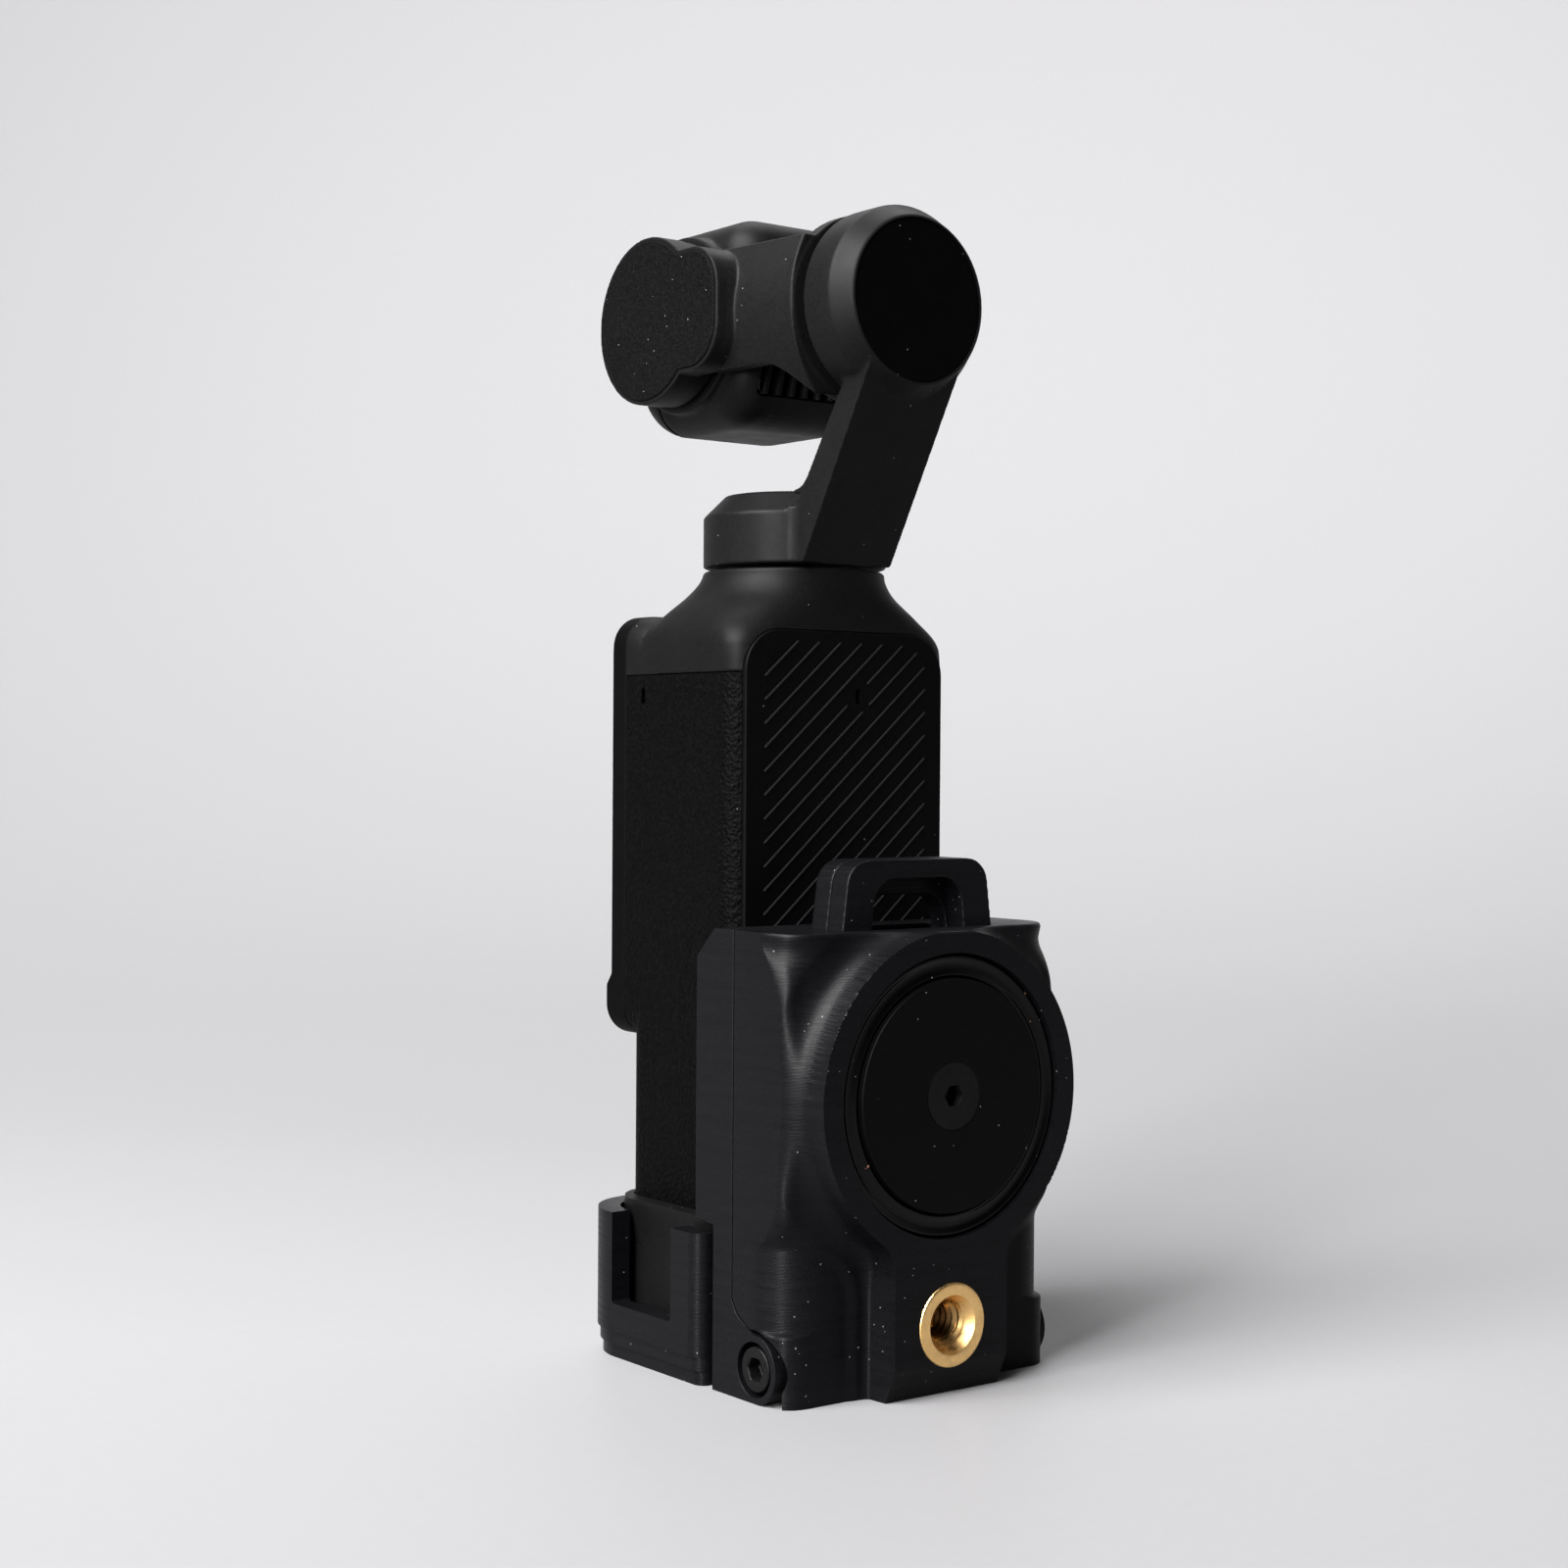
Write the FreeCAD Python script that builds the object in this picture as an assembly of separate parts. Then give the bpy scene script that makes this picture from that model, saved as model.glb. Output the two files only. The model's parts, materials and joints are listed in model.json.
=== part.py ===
"""Pocket gimbal camera in a printed pan-tilt mount with a hinged rear leaf.

Units are millimetres.  Z is up, the lens and the screen face -Y, the mounting leaf faces +Y.
The origin is on the floor plane, under the pan axis of the gimbal.
"""
import FreeCAD, Part
import math
import os

V = FreeCAD.Vector

# ---------------------------------------------------------------- driving dimensions
# camera handle
HANDLE_HALF_W = 21.1
HANDLE_REAR = 13.5
HANDLE_FRONT = -16.0
HANDLE_BOTTOM = 21.0
HANDLE_R = 5.0
SHELL_WALL = 1.6
SEAM_Z = 105.9
SHOULDER_TOP = 122.3
PANEL_TOP = 112.6
PANEL_BOTTOM = 27.0
SCREEN_FRONT = -20.0
SCREEN_Z = (48.8, 115.5)
SCREEN_HALF_W = 21.0
SCREEN_CORNER = 5.0
SCREEN_LIP = 1.4
SCREEN_LIP_TOP = 58.6
LIP_SLOPE = 3.2
DISPLAY_Z = (62.2, 112.2)
DISPLAY_HALF_W = 18.6
PAN_GAP = 0.6
STICK_Z = 39.8
BUTTON_Z = 29.4
BUTTON_R = 4.4
SWIVEL_Z = 82.15
SWIVEL_R = 3.0
MIC_Y = -11.2
MIC_Z = 102.7
PANEL_HALF_W = 19.3
RIB_FIELD_X = (-16.0, 15.8)
RIB_PITCH = 3.6
RIB_WIDTH = 0.3
RIB_HEIGHT = 0.15
RIB_SLOPE = 0.87            # rise per unit of travel towards -X
# gimbal
HUB_R = 14.4
HUB_TOP = 134.2
ROLL_Z = 161.3
ROLL_CAP_Y = 30.0
ROLL_R = 14.6
ROLL_CAP_R = 12.2
ARM_HALF_W = 8.7
TILT_Y = -13.5
TILT_R = 12.35
TILT_FACE_X = 19.5
LOBE_Y = -3.4
LOBE_R = 8.75
HEAD_HALF_H = 17.2
HEAD_X = (-16.0, 11.6)
HEAD_Y = (-30.5, 1.6)
HEAD_SPLIT = -22.0
LENS_X = -1.8
LENS_R = 11.0
# mount
MOUNT_HALF_W = 26.3
MOUNT_TOP = 68.0
BACK_FRONT = 13.7
BACK_REAR = 20.3
WRAP_FRONT = 11.1
COLLAR_TOP = 24.3
CUP_HALF_W = 27.6
CUP_WALL = 3.3
CUP_FRONT = -20.6
CUP_REAR = 13.6
CUP_TOP = 22.6
WINDOW_Y = (-9.3, 6.6)
WINDOW_BOTTOM = 8.5
HINGE_Y = 25.9
HINGE_Z = 4.9
KNUCKLE_R = 5.1
KNUCKLE_INNER = 22.3
LEAF_FRONT = 20.6
LEAF_REAR = 32.7
BOSS_FACE = 39.06
DISC_Z = 43.9
BOSS_R = 24.2
RING_R = 20.8
DISC_R = 17.2
LOWER_BOSS_HALF = 10.8
SOCKET_Z = 10.4
THREAD_MAJOR_R = 3.175      # quarter-inch camera thread
INSERT_BODY_R = 4.7
INSERT_FLANGE_R = 6.2
INSERT_LENGTH = 10.6
AXLE_R = 2.0
AXLE_HEAD_R = 3.3
AXLE_HEAD_DEPTH = 3.4
NUT_R = 4.0
NUT_DEPTH = 3.4
TONGUE_Z = (3.0, 6.0)
CUP_SCREW_X = (-11.0, 11.0)
CUP_SCREW_Y = -2.0
HOOK_Z = 50.0
LATCH_HALF_W = 14.5
LATCH_Y = (23.4, 27.2, 31.0)
LATCH_TOP = 78.2
FIT = 0.05          # radial clearance of a running fit
GAP = 0.3           # clearance between bodies that move past each other


# ---------------------------------------------------------------- helpers
def box(x0, x1, y0, y1, z0, z1):
    return Part.makeBox(x1 - x0, y1 - y0, z1 - z0, V(x0, y0, z0))


def cyl_x(r, x0, x1, y, z):
    return Part.makeCylinder(r, x1 - x0, V(x0, y, z), V(1, 0, 0))


def cyl_y(r, y0, y1, x, z):
    return Part.makeCylinder(r, y1 - y0, V(x, y0, z), V(0, 1, 0))


def cyl_z(r, z0, z1, x, y):
    return Part.makeCylinder(r, z1 - z0, V(x, y, z0), V(0, 0, 1))


def cone_y(r0, r1, y0, y1, x, z):
    return Part.makeCone(r0, r1, y1 - y0, V(x, y0, z), V(0, 1, 0))


def cone_z(r0, r1, z0, z1, x, y):
    return Part.makeCone(r0, r1, z1 - z0, V(x, y, z0), V(0, 0, 1))


def face_of(points, radii):
    """A flat face whose outline runs through points, each corner rounded by its radius."""
    edges = []
    ends = []
    count = len(points)
    for i in range(count):
        corner = points[i]
        if radii[i] <= 0:
            ends.append((corner, corner, None))
            continue
        before = (points[i - 1] - corner).normalize()
        after = (points[(i + 1) % count] - corner).normalize()
        half = math.acos(before.dot(after)) / 2
        reach = radii[i] / math.tan(half)
        middle = (before + after).normalize()
        centre = corner + middle * (radii[i] / math.sin(half))
        ends.append((corner + before * reach, corner + after * reach, centre - middle * radii[i]))
    for i in range(count):
        start, end, middle = ends[i]
        if middle is not None:
            edges.append(Part.Arc(start, middle, end).toShape())
        following = ends[(i + 1) % count][0]
        if end.distanceToPoint(following) > 1e-6:
            edges.append(Part.LineSegment(end, following).toShape())
    return Part.Face(Part.Wire(edges))


def plan_prism(half_w, y0, y1, z0, z1, r_front, r_rear):
    """A vertical prism, symmetric about the YZ plane, with rounded vertical edges."""
    points = [V(-half_w, y0, z0), V(half_w, y0, z0), V(half_w, y1, z0), V(-half_w, y1, z0)]
    return face_of(points, [r_front, r_front, r_rear, r_rear]).extrude(V(0, 0, z1 - z0))


def side_prism(points, radii, x0, x1):
    """A prism along X from an outline of (y, z) points."""
    return face_of([V(x0, y, z) for y, z in points], radii).extrude(V(x1 - x0, 0, 0))


def rear_prism(points, radii, y0, y1):
    """A prism along Y from an outline of (x, z) points."""
    return face_of([V(x, y0, z) for x, z in points], radii).extrude(V(0, y1 - y0, 0))


def oval_wire(half_x, y0, y1, z, power):
    """A smooth closed section: power 2 is an ellipse and a higher power is squarer."""
    middle = (y0 + y1) / 2
    half_y = (y1 - y0) / 2
    points = []
    steps = 48
    for i in range(steps):
        t = 2 * math.pi * i / steps
        c = math.cos(t)
        s = math.sin(t)
        x = half_x * math.copysign(abs(c) ** (2 / power), c)
        y = middle + half_y * math.copysign(abs(s) ** (2 / power), s)
        points.append(V(x, y, z))
    curve = Part.BSplineCurve()
    curve.interpolate(points, PeriodicFlag=True)
    return Part.Wire(curve.toShape())


def mirror_x(shape):
    return shape.mirror(V(0, 0, 0), V(1, 0, 0))


def both_sides(shape):
    return shape.fuse(mirror_x(shape))


def hex_hole(across, depth, at, axis):
    """A hexagonal socket of the given width across flats, cut from at along axis."""
    r = across / math.sqrt(3)
    if abs(axis.x) > 0.5:
        ring = [V(at.x, at.y + r * math.cos(a), at.z + r * math.sin(a)) for a in hex_angles()]
    else:
        ring = [V(at.x + r * math.cos(a), at.y, at.z + r * math.sin(a)) for a in hex_angles()]
    ring.append(ring[0])
    return Part.Face(Part.makePolygon(ring)).extrude(axis * depth)


def hex_angles():
    return [math.pi / 3 * i for i in range(6)]


# ---------------------------------------------------------------- printed mount
def make_cradle():
    body = box(-MOUNT_HALF_W, MOUNT_HALF_W, BACK_FRONT, BACK_REAR, 0, MOUNT_TOP)
    wrap_corner = 4.4
    wrap = side_prism([(WRAP_FRONT, COLLAR_TOP + 0.3), (BACK_FRONT + 1, COLLAR_TOP + 0.3),
                       (BACK_FRONT + 1, MOUNT_TOP), (WRAP_FRONT, MOUNT_TOP)],
                      [0, 0, 0, 2.5], HANDLE_HALF_W + 0.3, MOUNT_HALF_W)
    slope = side_prism([(WRAP_FRONT - 1, MOUNT_TOP - wrap_corner), (WRAP_FRONT, MOUNT_TOP - wrap_corner),
                        (WRAP_FRONT + wrap_corner, MOUNT_TOP), (WRAP_FRONT + wrap_corner, MOUNT_TOP + 1),
                        (WRAP_FRONT - 1, MOUNT_TOP + 1)],
                       [0, 0, 0, 0, 0], 0, MOUNT_HALF_W + 1)
    body = body.fuse(both_sides(wrap)).cut(both_sides(slope))
    # grooves that take the rear ends of the cup walls
    groove = box(CUP_HALF_W - CUP_WALL, CUP_HALF_W + 1, BACK_FRONT - 3, CUP_REAR + 2.0, -1, COLLAR_TOP)
    body = body.cut(both_sides(groove))
    # knuckles of the hinge, each carried by a web that slopes up to the back wall
    knuckle = cyl_x(KNUCKLE_R, KNUCKLE_INNER, MOUNT_HALF_W, HINGE_Y, HINGE_Z)
    below = box(KNUCKLE_INNER - 1, MOUNT_HALF_W + 1, HINGE_Y - 10, HINGE_Y + 10, -5, 0)
    knuckle = knuckle.fuse(knuckle_web(0.0, KNUCKLE_INNER, MOUNT_HALF_W)).cut(below)
    body = body.fuse(both_sides(knuckle))
    # clearance for the barrel of the leaf, the axle, its head and its nut
    body = body.cut(cyl_x(KNUCKLE_R + 1.2, -KNUCKLE_INNER, KNUCKLE_INNER, HINGE_Y, HINGE_Z))
    body = body.cut(cyl_x(AXLE_R + FIT, -30, 30, HINGE_Y, HINGE_Z))
    body = body.cut(cyl_x(AXLE_HEAD_R + 0.7, MOUNT_HALF_W - AXLE_HEAD_DEPTH, 30, HINGE_Y, HINGE_Z))
    body = body.cut(cyl_x(NUT_R + 0.1, -30, -MOUNT_HALF_W + NUT_DEPTH, HINGE_Y, HINGE_Z))
    # floor tongue that the cup is screwed to
    tongue = plan_prism(18, -12, BACK_FRONT + 1, TONGUE_Z[0], TONGUE_Z[1], 4, 0)
    body = body.fuse(tongue)
    for x in CUP_SCREW_X:
        body = body.cut(cyl_z(1.5, 0, TONGUE_Z[1] + 1, x, CUP_SCREW_Y))
    # window that the latch bolt enters
    body = body.cut(box(-7.4, 7.4, BACK_FRONT - 1, BACK_REAR + 1, HOOK_Z - 2.8, HOOK_Z + 12.0))
    return body.removeSplitter()


def knuckle_web(grow, x0, x1):
    """The web between a hinge knuckle and the back wall, seen from the side."""
    top = HINGE_Z + KNUCKLE_R + grow
    return side_prism([(BACK_REAR - 1, -1), (HINGE_Y, -1), (HINGE_Y, top), (HINGE_Y - 0.4, top),
                       (BACK_REAR + 1.3 + grow, top + 2.0), (BACK_REAR + grow, top + 4.0),
                       (BACK_REAR - 1, top + 4.0)],
                      [0, 0, 0, 0, 3.0, 0, 0], x0, x1)


def make_toe_cup():
    inner_w = CUP_HALF_W - CUP_WALL
    taper = 0.8
    foot = 4.2
    body = plan_prism(CUP_HALF_W, CUP_FRONT, CUP_REAR, foot, CUP_TOP, 10.5, 2.4)
    low = plan_prism(CUP_HALF_W - taper, CUP_FRONT + taper, CUP_REAR, 0, foot, 10.0, 1.8)
    rim = plan_prism(CUP_HALF_W - taper / 2, CUP_FRONT + taper / 2, CUP_REAR, foot / 2, foot, 10.2, 2.1)
    body = body.fuse([low, rim])
    cavity = plan_prism(inner_w, CUP_FRONT + CUP_WALL, CUP_REAR + 9, TONGUE_Z[0], CUP_TOP + 1, 7.6, 0)
    body = body.cut(cavity)
    body = body.cut(box(-inner_w, inner_w, BACK_FRONT - 0.1, CUP_REAR + 1, -1, CUP_TOP))
    window = side_prism([(WINDOW_Y[0], WINDOW_BOTTOM), (WINDOW_Y[1], WINDOW_BOTTOM),
                         (WINDOW_Y[1], CUP_TOP + 2), (WINDOW_Y[0], CUP_TOP + 2)],
                        [0.6, 0.6, 0, 0], inner_w - 1, CUP_HALF_W + 1)
    body = body.cut(both_sides(window))
    for x in CUP_SCREW_X:
        body = body.cut(cyl_z(1.6, -1, TONGUE_Z[0] + 1, x, CUP_SCREW_Y))
        body = body.cut(cone_z(3.3, 1.6, -0.1, 1.7, x, CUP_SCREW_Y))
    return body.removeSplitter()


def make_cup_screws():
    screws = []
    for x in CUP_SCREW_X:
        head = cone_z(3.0, 1.5, 0.15, 1.65, x, CUP_SCREW_Y)
        screws.append(head.fuse(cyl_z(1.5, 1.65, TONGUE_Z[1] - 0.2, x, CUP_SCREW_Y)))
    return Part.makeCompound(screws)


def make_base_adapter():
    """The bottom adapter of the handle: its rim flares out round the end of the handle."""
    base = TONGUE_Z[1] + 0.1
    body = plan_prism(22.6, -16.8, HANDLE_REAR, base, 17.0, 7.5, 3.0)
    lower = oval_loft([(22.6, -16.8, 17.0), (23.1, -17.0, 20.0), (23.9, -17.25, COLLAR_TOP - 1.0)])
    rim = plan_prism(23.9, -17.2, HANDLE_REAR, COLLAR_TOP - 1.0, COLLAR_TOP, 8.5, 3.0)
    body = body.fuse([lower, rim])
    pocket = plan_prism(HANDLE_HALF_W + 0.15, HANDLE_FRONT - 0.15, HANDLE_REAR + 5, HANDLE_BOTTOM,
                        COLLAR_TOP + 1, HANDLE_R, 0)
    return body.cut(pocket).removeSplitter()


def oval_loft(sections):
    """Stacked rounded prisms that widen a little at each level."""
    parts = []
    for i in range(len(sections) - 1):
        w0, f0, z0 = sections[i]
        w1, f1, z1 = sections[i + 1]
        wires = []
        for w, f, z in ((w0, f0, z0), (w1, f1, z1)):
            outline = face_of([V(-w, f, z), V(w, f, z), V(w, HANDLE_REAR, z), V(-w, HANDLE_REAR, z)],
                              [8.0, 8.0, 3.0, 3.0])
            wires.append(outline.OuterWire)
        parts.append(Part.makeLoft(wires, True, True))
    return parts[0].fuse(parts[1:])


def leaf_outline():
    corner = 7.2
    side_bottom = HINGE_Z + KNUCKLE_R + GAP
    upper = plan_prism(MOUNT_HALF_W, LEAF_FRONT, LEAF_REAR, side_bottom, MOUNT_TOP, 0, corner)
    # lower front corners of the side flanks follow the webs of the knuckles
    upper = upper.cut(both_sides(knuckle_web(GAP, KNUCKLE_INNER - GAP, MOUNT_HALF_W + 1)))
    # ears that close round the back of the knuckles
    ear = plan_prism(MOUNT_HALF_W, HINGE_Y, LEAF_REAR, 0, side_bottom + 0.5, 0, 4.6)
    ear = ear.cut(cyl_x(KNUCKLE_R + 0.45, -30, 30, HINGE_Y, HINGE_Z))
    ear = ear.cut(box(-30, 30, HINGE_Y, HINGE_Y + 5.0, -1, 2.3))
    lower = plan_prism(KNUCKLE_INNER - GAP, HINGE_Y, LEAF_REAR, 0, side_bottom + 1, 0, 6.0)
    neck = box(-KNUCKLE_INNER + GAP, KNUCKLE_INNER - GAP, LEAF_FRONT, HINGE_Y + 1, HINGE_Z + 4.2, side_bottom + 4)
    barrel = cyl_x(KNUCKLE_R, -KNUCKLE_INNER + GAP, KNUCKLE_INNER - GAP, HINGE_Y, HINGE_Z)
    body = upper.fuse([ear, lower, neck, barrel])
    return body.cut(box(-40, 40, HINGE_Y - 12, HINGE_Y + 12, -5, 0))


def make_leaf():
    flare = 5.0
    profile = [V(0, LEAF_FRONT + 4, DISC_Z), V(0, BOSS_FACE, DISC_Z), V(BOSS_R, BOSS_FACE, DISC_Z),
               V(BOSS_R, LEAF_REAR + flare, DISC_Z)]
    bend = flare * (1 - math.sqrt(0.5))
    arc = Part.Arc(profile[3], V(BOSS_R + bend, LEAF_REAR + bend, DISC_Z),
                   V(BOSS_R + flare, LEAF_REAR, DISC_Z)).toShape()
    edges = [Part.LineSegment(profile[i], profile[i + 1]).toShape() for i in range(3)]
    edges.append(arc)
    edges.append(Part.LineSegment(V(BOSS_R + flare, LEAF_REAR, DISC_Z),
                                  V(BOSS_R + flare, LEAF_FRONT + 4, DISC_Z)).toShape())
    edges.append(Part.LineSegment(V(BOSS_R + flare, LEAF_FRONT + 4, DISC_Z), profile[0]).toShape())
    boss = Part.Face(Part.Wire(edges)).revolve(V(0, 0, DISC_Z), V(0, 1, 0), 360)
    boss = boss.common(box(-MOUNT_HALF_W, MOUNT_HALF_W, LEAF_FRONT, BOSS_FACE, 15, MOUNT_TOP))
    bevel = 2.1
    bevel_top = 5.0
    lower = side_prism([(LEAF_REAR - 3, 0), (BOSS_FACE - bevel, 0), (BOSS_FACE, bevel_top),
                        (BOSS_FACE, DISC_Z), (LEAF_REAR - 3, DISC_Z)],
                       [0, 0, 0, 0, 0], -LOWER_BOSS_HALF, LOWER_BOSS_HALF)
    body = leaf_outline().fuse([boss, lower])
    # pocket of the latch, open at the top, and the mouth of its bolt at the front
    body = body.cut(box(-LATCH_HALF_W - GAP, LATCH_HALF_W + GAP, LATCH_Y[0] - GAP, LATCH_Y[2] + GAP,
                        HOOK_Z - 6.0, MOUNT_TOP + 1))
    body = body.cut(box(-6.4, 6.4, LEAF_FRONT - 1, LATCH_Y[0], HOOK_Z - 2.4, HOOK_Z + 15.5))
    # seat of the disc and its ring, the fixing screw and its nut
    body = body.cut(cyl_y(RING_R + 0.1, BOSS_FACE - 3.4, BOSS_FACE + 1, 0, DISC_Z))
    body = body.cut(cyl_y(2.5, LATCH_Y[2] + 0.9, BOSS_FACE, 0, DISC_Z))
    # bore of the threaded insert and of the hinge axle
    body = body.cut(cyl_y(INSERT_BODY_R, BOSS_FACE - INSERT_LENGTH, BOSS_FACE + 1, 0, SOCKET_Z))
    body = body.cut(cyl_y(INSERT_FLANGE_R, BOSS_FACE - 1.3, BOSS_FACE + 1, 0, SOCKET_Z))
    body = body.cut(cyl_x(AXLE_R + FIT, -30, 30, HINGE_Y, HINGE_Z))
    return body.removeSplitter()


def make_insert():
    outer = cyl_y(INSERT_BODY_R, BOSS_FACE - INSERT_LENGTH, BOSS_FACE, 0, SOCKET_Z)
    outer = outer.fuse(cyl_y(INSERT_FLANGE_R, BOSS_FACE - 1.3, BOSS_FACE + 0.25, 0, SOCKET_Z))
    outer = outer.cut(cyl_y(THREAD_MAJOR_R, BOSS_FACE - INSERT_LENGTH - 1, BOSS_FACE + 1, 0, SOCKET_Z))
    return outer.cut(cone_y(THREAD_MAJOR_R, 4.3, BOSS_FACE - 1.4, BOSS_FACE + 0.26, 0, SOCKET_Z))


def make_magnet_ring():
    outer = cyl_y(RING_R, BOSS_FACE - 3.4, BOSS_FACE - 0.7, 0, DISC_Z)
    return outer.cut(cyl_y(DISC_R + 0.2, BOSS_FACE - 4, BOSS_FACE, 0, DISC_Z))


def make_disc_plate():
    plate = cyl_y(DISC_R, BOSS_FACE - 3.4, BOSS_FACE + 0.1, 0, DISC_Z)
    plate = plate.cut(cyl_y(2.5, BOSS_FACE - 5, BOSS_FACE + 1, 0, DISC_Z))
    return plate.cut(cone_y(2.5, 5.1, BOSS_FACE - 2.5, BOSS_FACE + 0.11, 0, DISC_Z))


def make_disc_screw():
    face = BOSS_FACE + 0.05
    head = cone_y(2.4, 4.97, BOSS_FACE - 2.5, face, 0, DISC_Z)
    shank = cyl_y(2.45, LATCH_Y[2] + 1.0, BOSS_FACE - 2.5, 0, DISC_Z)
    return head.fuse(shank).cut(hex_hole(3.0, -2.0, V(0, face, DISC_Z), V(0, 1, 0)))


def make_hinge_screw():
    head_face = MOUNT_HALF_W - 0.2
    head_back = MOUNT_HALF_W - AXLE_HEAD_DEPTH
    head = cyl_x(AXLE_HEAD_R, head_back, head_face, HINGE_Y, HINGE_Z)
    shank = cyl_x(AXLE_R, -MOUNT_HALF_W + 0.8, head_back, HINGE_Y, HINGE_Z)
    return head.fuse(shank).cut(hex_hole(3.2, -2.2, V(head_face, HINGE_Y, HINGE_Z), V(1, 0, 0)))


def make_hinge_nut():
    ring = [V(-MOUNT_HALF_W + 0.4, HINGE_Y + NUT_R * math.cos(a), HINGE_Z + NUT_R * math.sin(a))
            for a in hex_angles()]
    ring.append(ring[0])
    nut = Part.Face(Part.makePolygon(ring)).extrude(V(NUT_DEPTH - 0.4, 0, 0))
    return nut.cut(cyl_x(AXLE_R + FIT, -30, -20, HINGE_Y, HINGE_Z))


def loop_outline(half_base, half_top, top, bottom, corner):
    return ([(-half_base, bottom), (half_base, bottom), (half_base, MOUNT_TOP), (half_top, top),
             (-half_top, top), (-half_base, MOUNT_TOP)], [0.8, 0.8, 0, corner, corner, 0])


def make_latch_loop(layer):
    y0 = LATCH_Y[layer]
    y1 = LATCH_Y[layer + 1]
    foot = HOOK_Z - 2.0
    points, radii = loop_outline(LATCH_HALF_W, LATCH_HALF_W - 1.3, LATCH_TOP, foot, 4.0)
    plate = rear_prism(points, radii, y0, y1)
    half = (8.8, 9.0)[layer]
    top = (LATCH_TOP - 5.4, LATCH_TOP - 2.8)[layer]
    hole = rear_prism([(-half, MOUNT_TOP - 1), (half, MOUNT_TOP - 1), (half - 0.9, top), (-half + 0.9, top)],
                      [0.8, 0.8, 4.2, 4.2], y0 - 1, y1 + 1)
    plate = plate.cut(hole)
    if layer == 0:
        bolt = box(-6.0, 6.0, BACK_REAR - 2.2, y0 + 0.5, foot, HOOK_Z + 0.6)
        plate = plate.fuse(bolt)
    return plate.removeSplitter()


def make_latch_inner():
    return make_latch_loop(0)


def make_latch_outer():
    return make_latch_loop(1)


# ---------------------------------------------------------------- camera handle
def make_handle_shell():
    body = plan_prism(HANDLE_HALF_W, HANDLE_FRONT, HANDLE_REAR, HANDLE_BOTTOM, SEAM_Z, HANDLE_R, 4.2)
    body = body.fuse(screen_seat(SCREEN_Z[0], SEAM_Z, SCREEN_CORNER, 0))
    cavity = plan_prism(HANDLE_HALF_W - SHELL_WALL, HANDLE_FRONT + SHELL_WALL, HANDLE_REAR - SHELL_WALL,
                        HANDLE_BOTTOM + 2, SEAM_Z + 1, HANDLE_R - SHELL_WALL, 4.2 - SHELL_WALL)
    body = body.cut(cavity)
    body = body.cut(panel_block(0.1))
    body = body.cut(cyl_y(5.2, HANDLE_FRONT - 1, HANDLE_FRONT + 3, 0, STICK_Z))
    body = body.cut(cyl_y(BUTTON_R + GAP, HANDLE_FRONT - 1, HANDLE_FRONT + 3, 0, BUTTON_Z))
    body = body.cut(cyl_y(SWIVEL_R + FIT, HANDLE_FRONT - 1, HANDLE_FRONT + 3, 0, SWIVEL_Z))
    body = body.cut(side_slot(MIC_Y, MIC_Z))
    body = body.cut(box(-5, 5, -3, 1.5, HANDLE_BOTTOM - 1, HANDLE_BOTTOM + 3))
    return body.removeSplitter()


def screen_seat(z0, z1, r_low, r_high):
    """The front edge of the handle is square behind the screen and shares its outline."""
    return rear_prism([(-HANDLE_HALF_W, z0), (HANDLE_HALF_W, z0), (HANDLE_HALF_W, z1), (-HANDLE_HALF_W, z1)],
                      [r_low, r_low, r_high, r_high], HANDLE_FRONT, HANDLE_FRONT + HANDLE_R)


def side_slot(y, z):
    return side_prism([(y - 0.55, z - 1.3), (y + 0.55, z - 1.3), (y + 0.55, z + 1.3), (y - 0.55, z + 1.3)],
                      [0.5, 0.5, 0.5, 0.5], HANDLE_HALF_W - 2.5, HANDLE_HALF_W + 1)


def panel_block(extra):
    """The ribbed rear panel lies in the rear wall, with rounded upper corners."""
    half = PANEL_HALF_W + extra
    return rear_prism([(-half, PANEL_BOTTOM - extra), (half, PANEL_BOTTOM - extra),
                       (half, PANEL_TOP + extra), (-half, PANEL_TOP + extra)],
                      [2.0, 2.0, 6.5, 6.5], HANDLE_REAR - SHELL_WALL - 0.1, HANDLE_REAR + 2)


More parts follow.
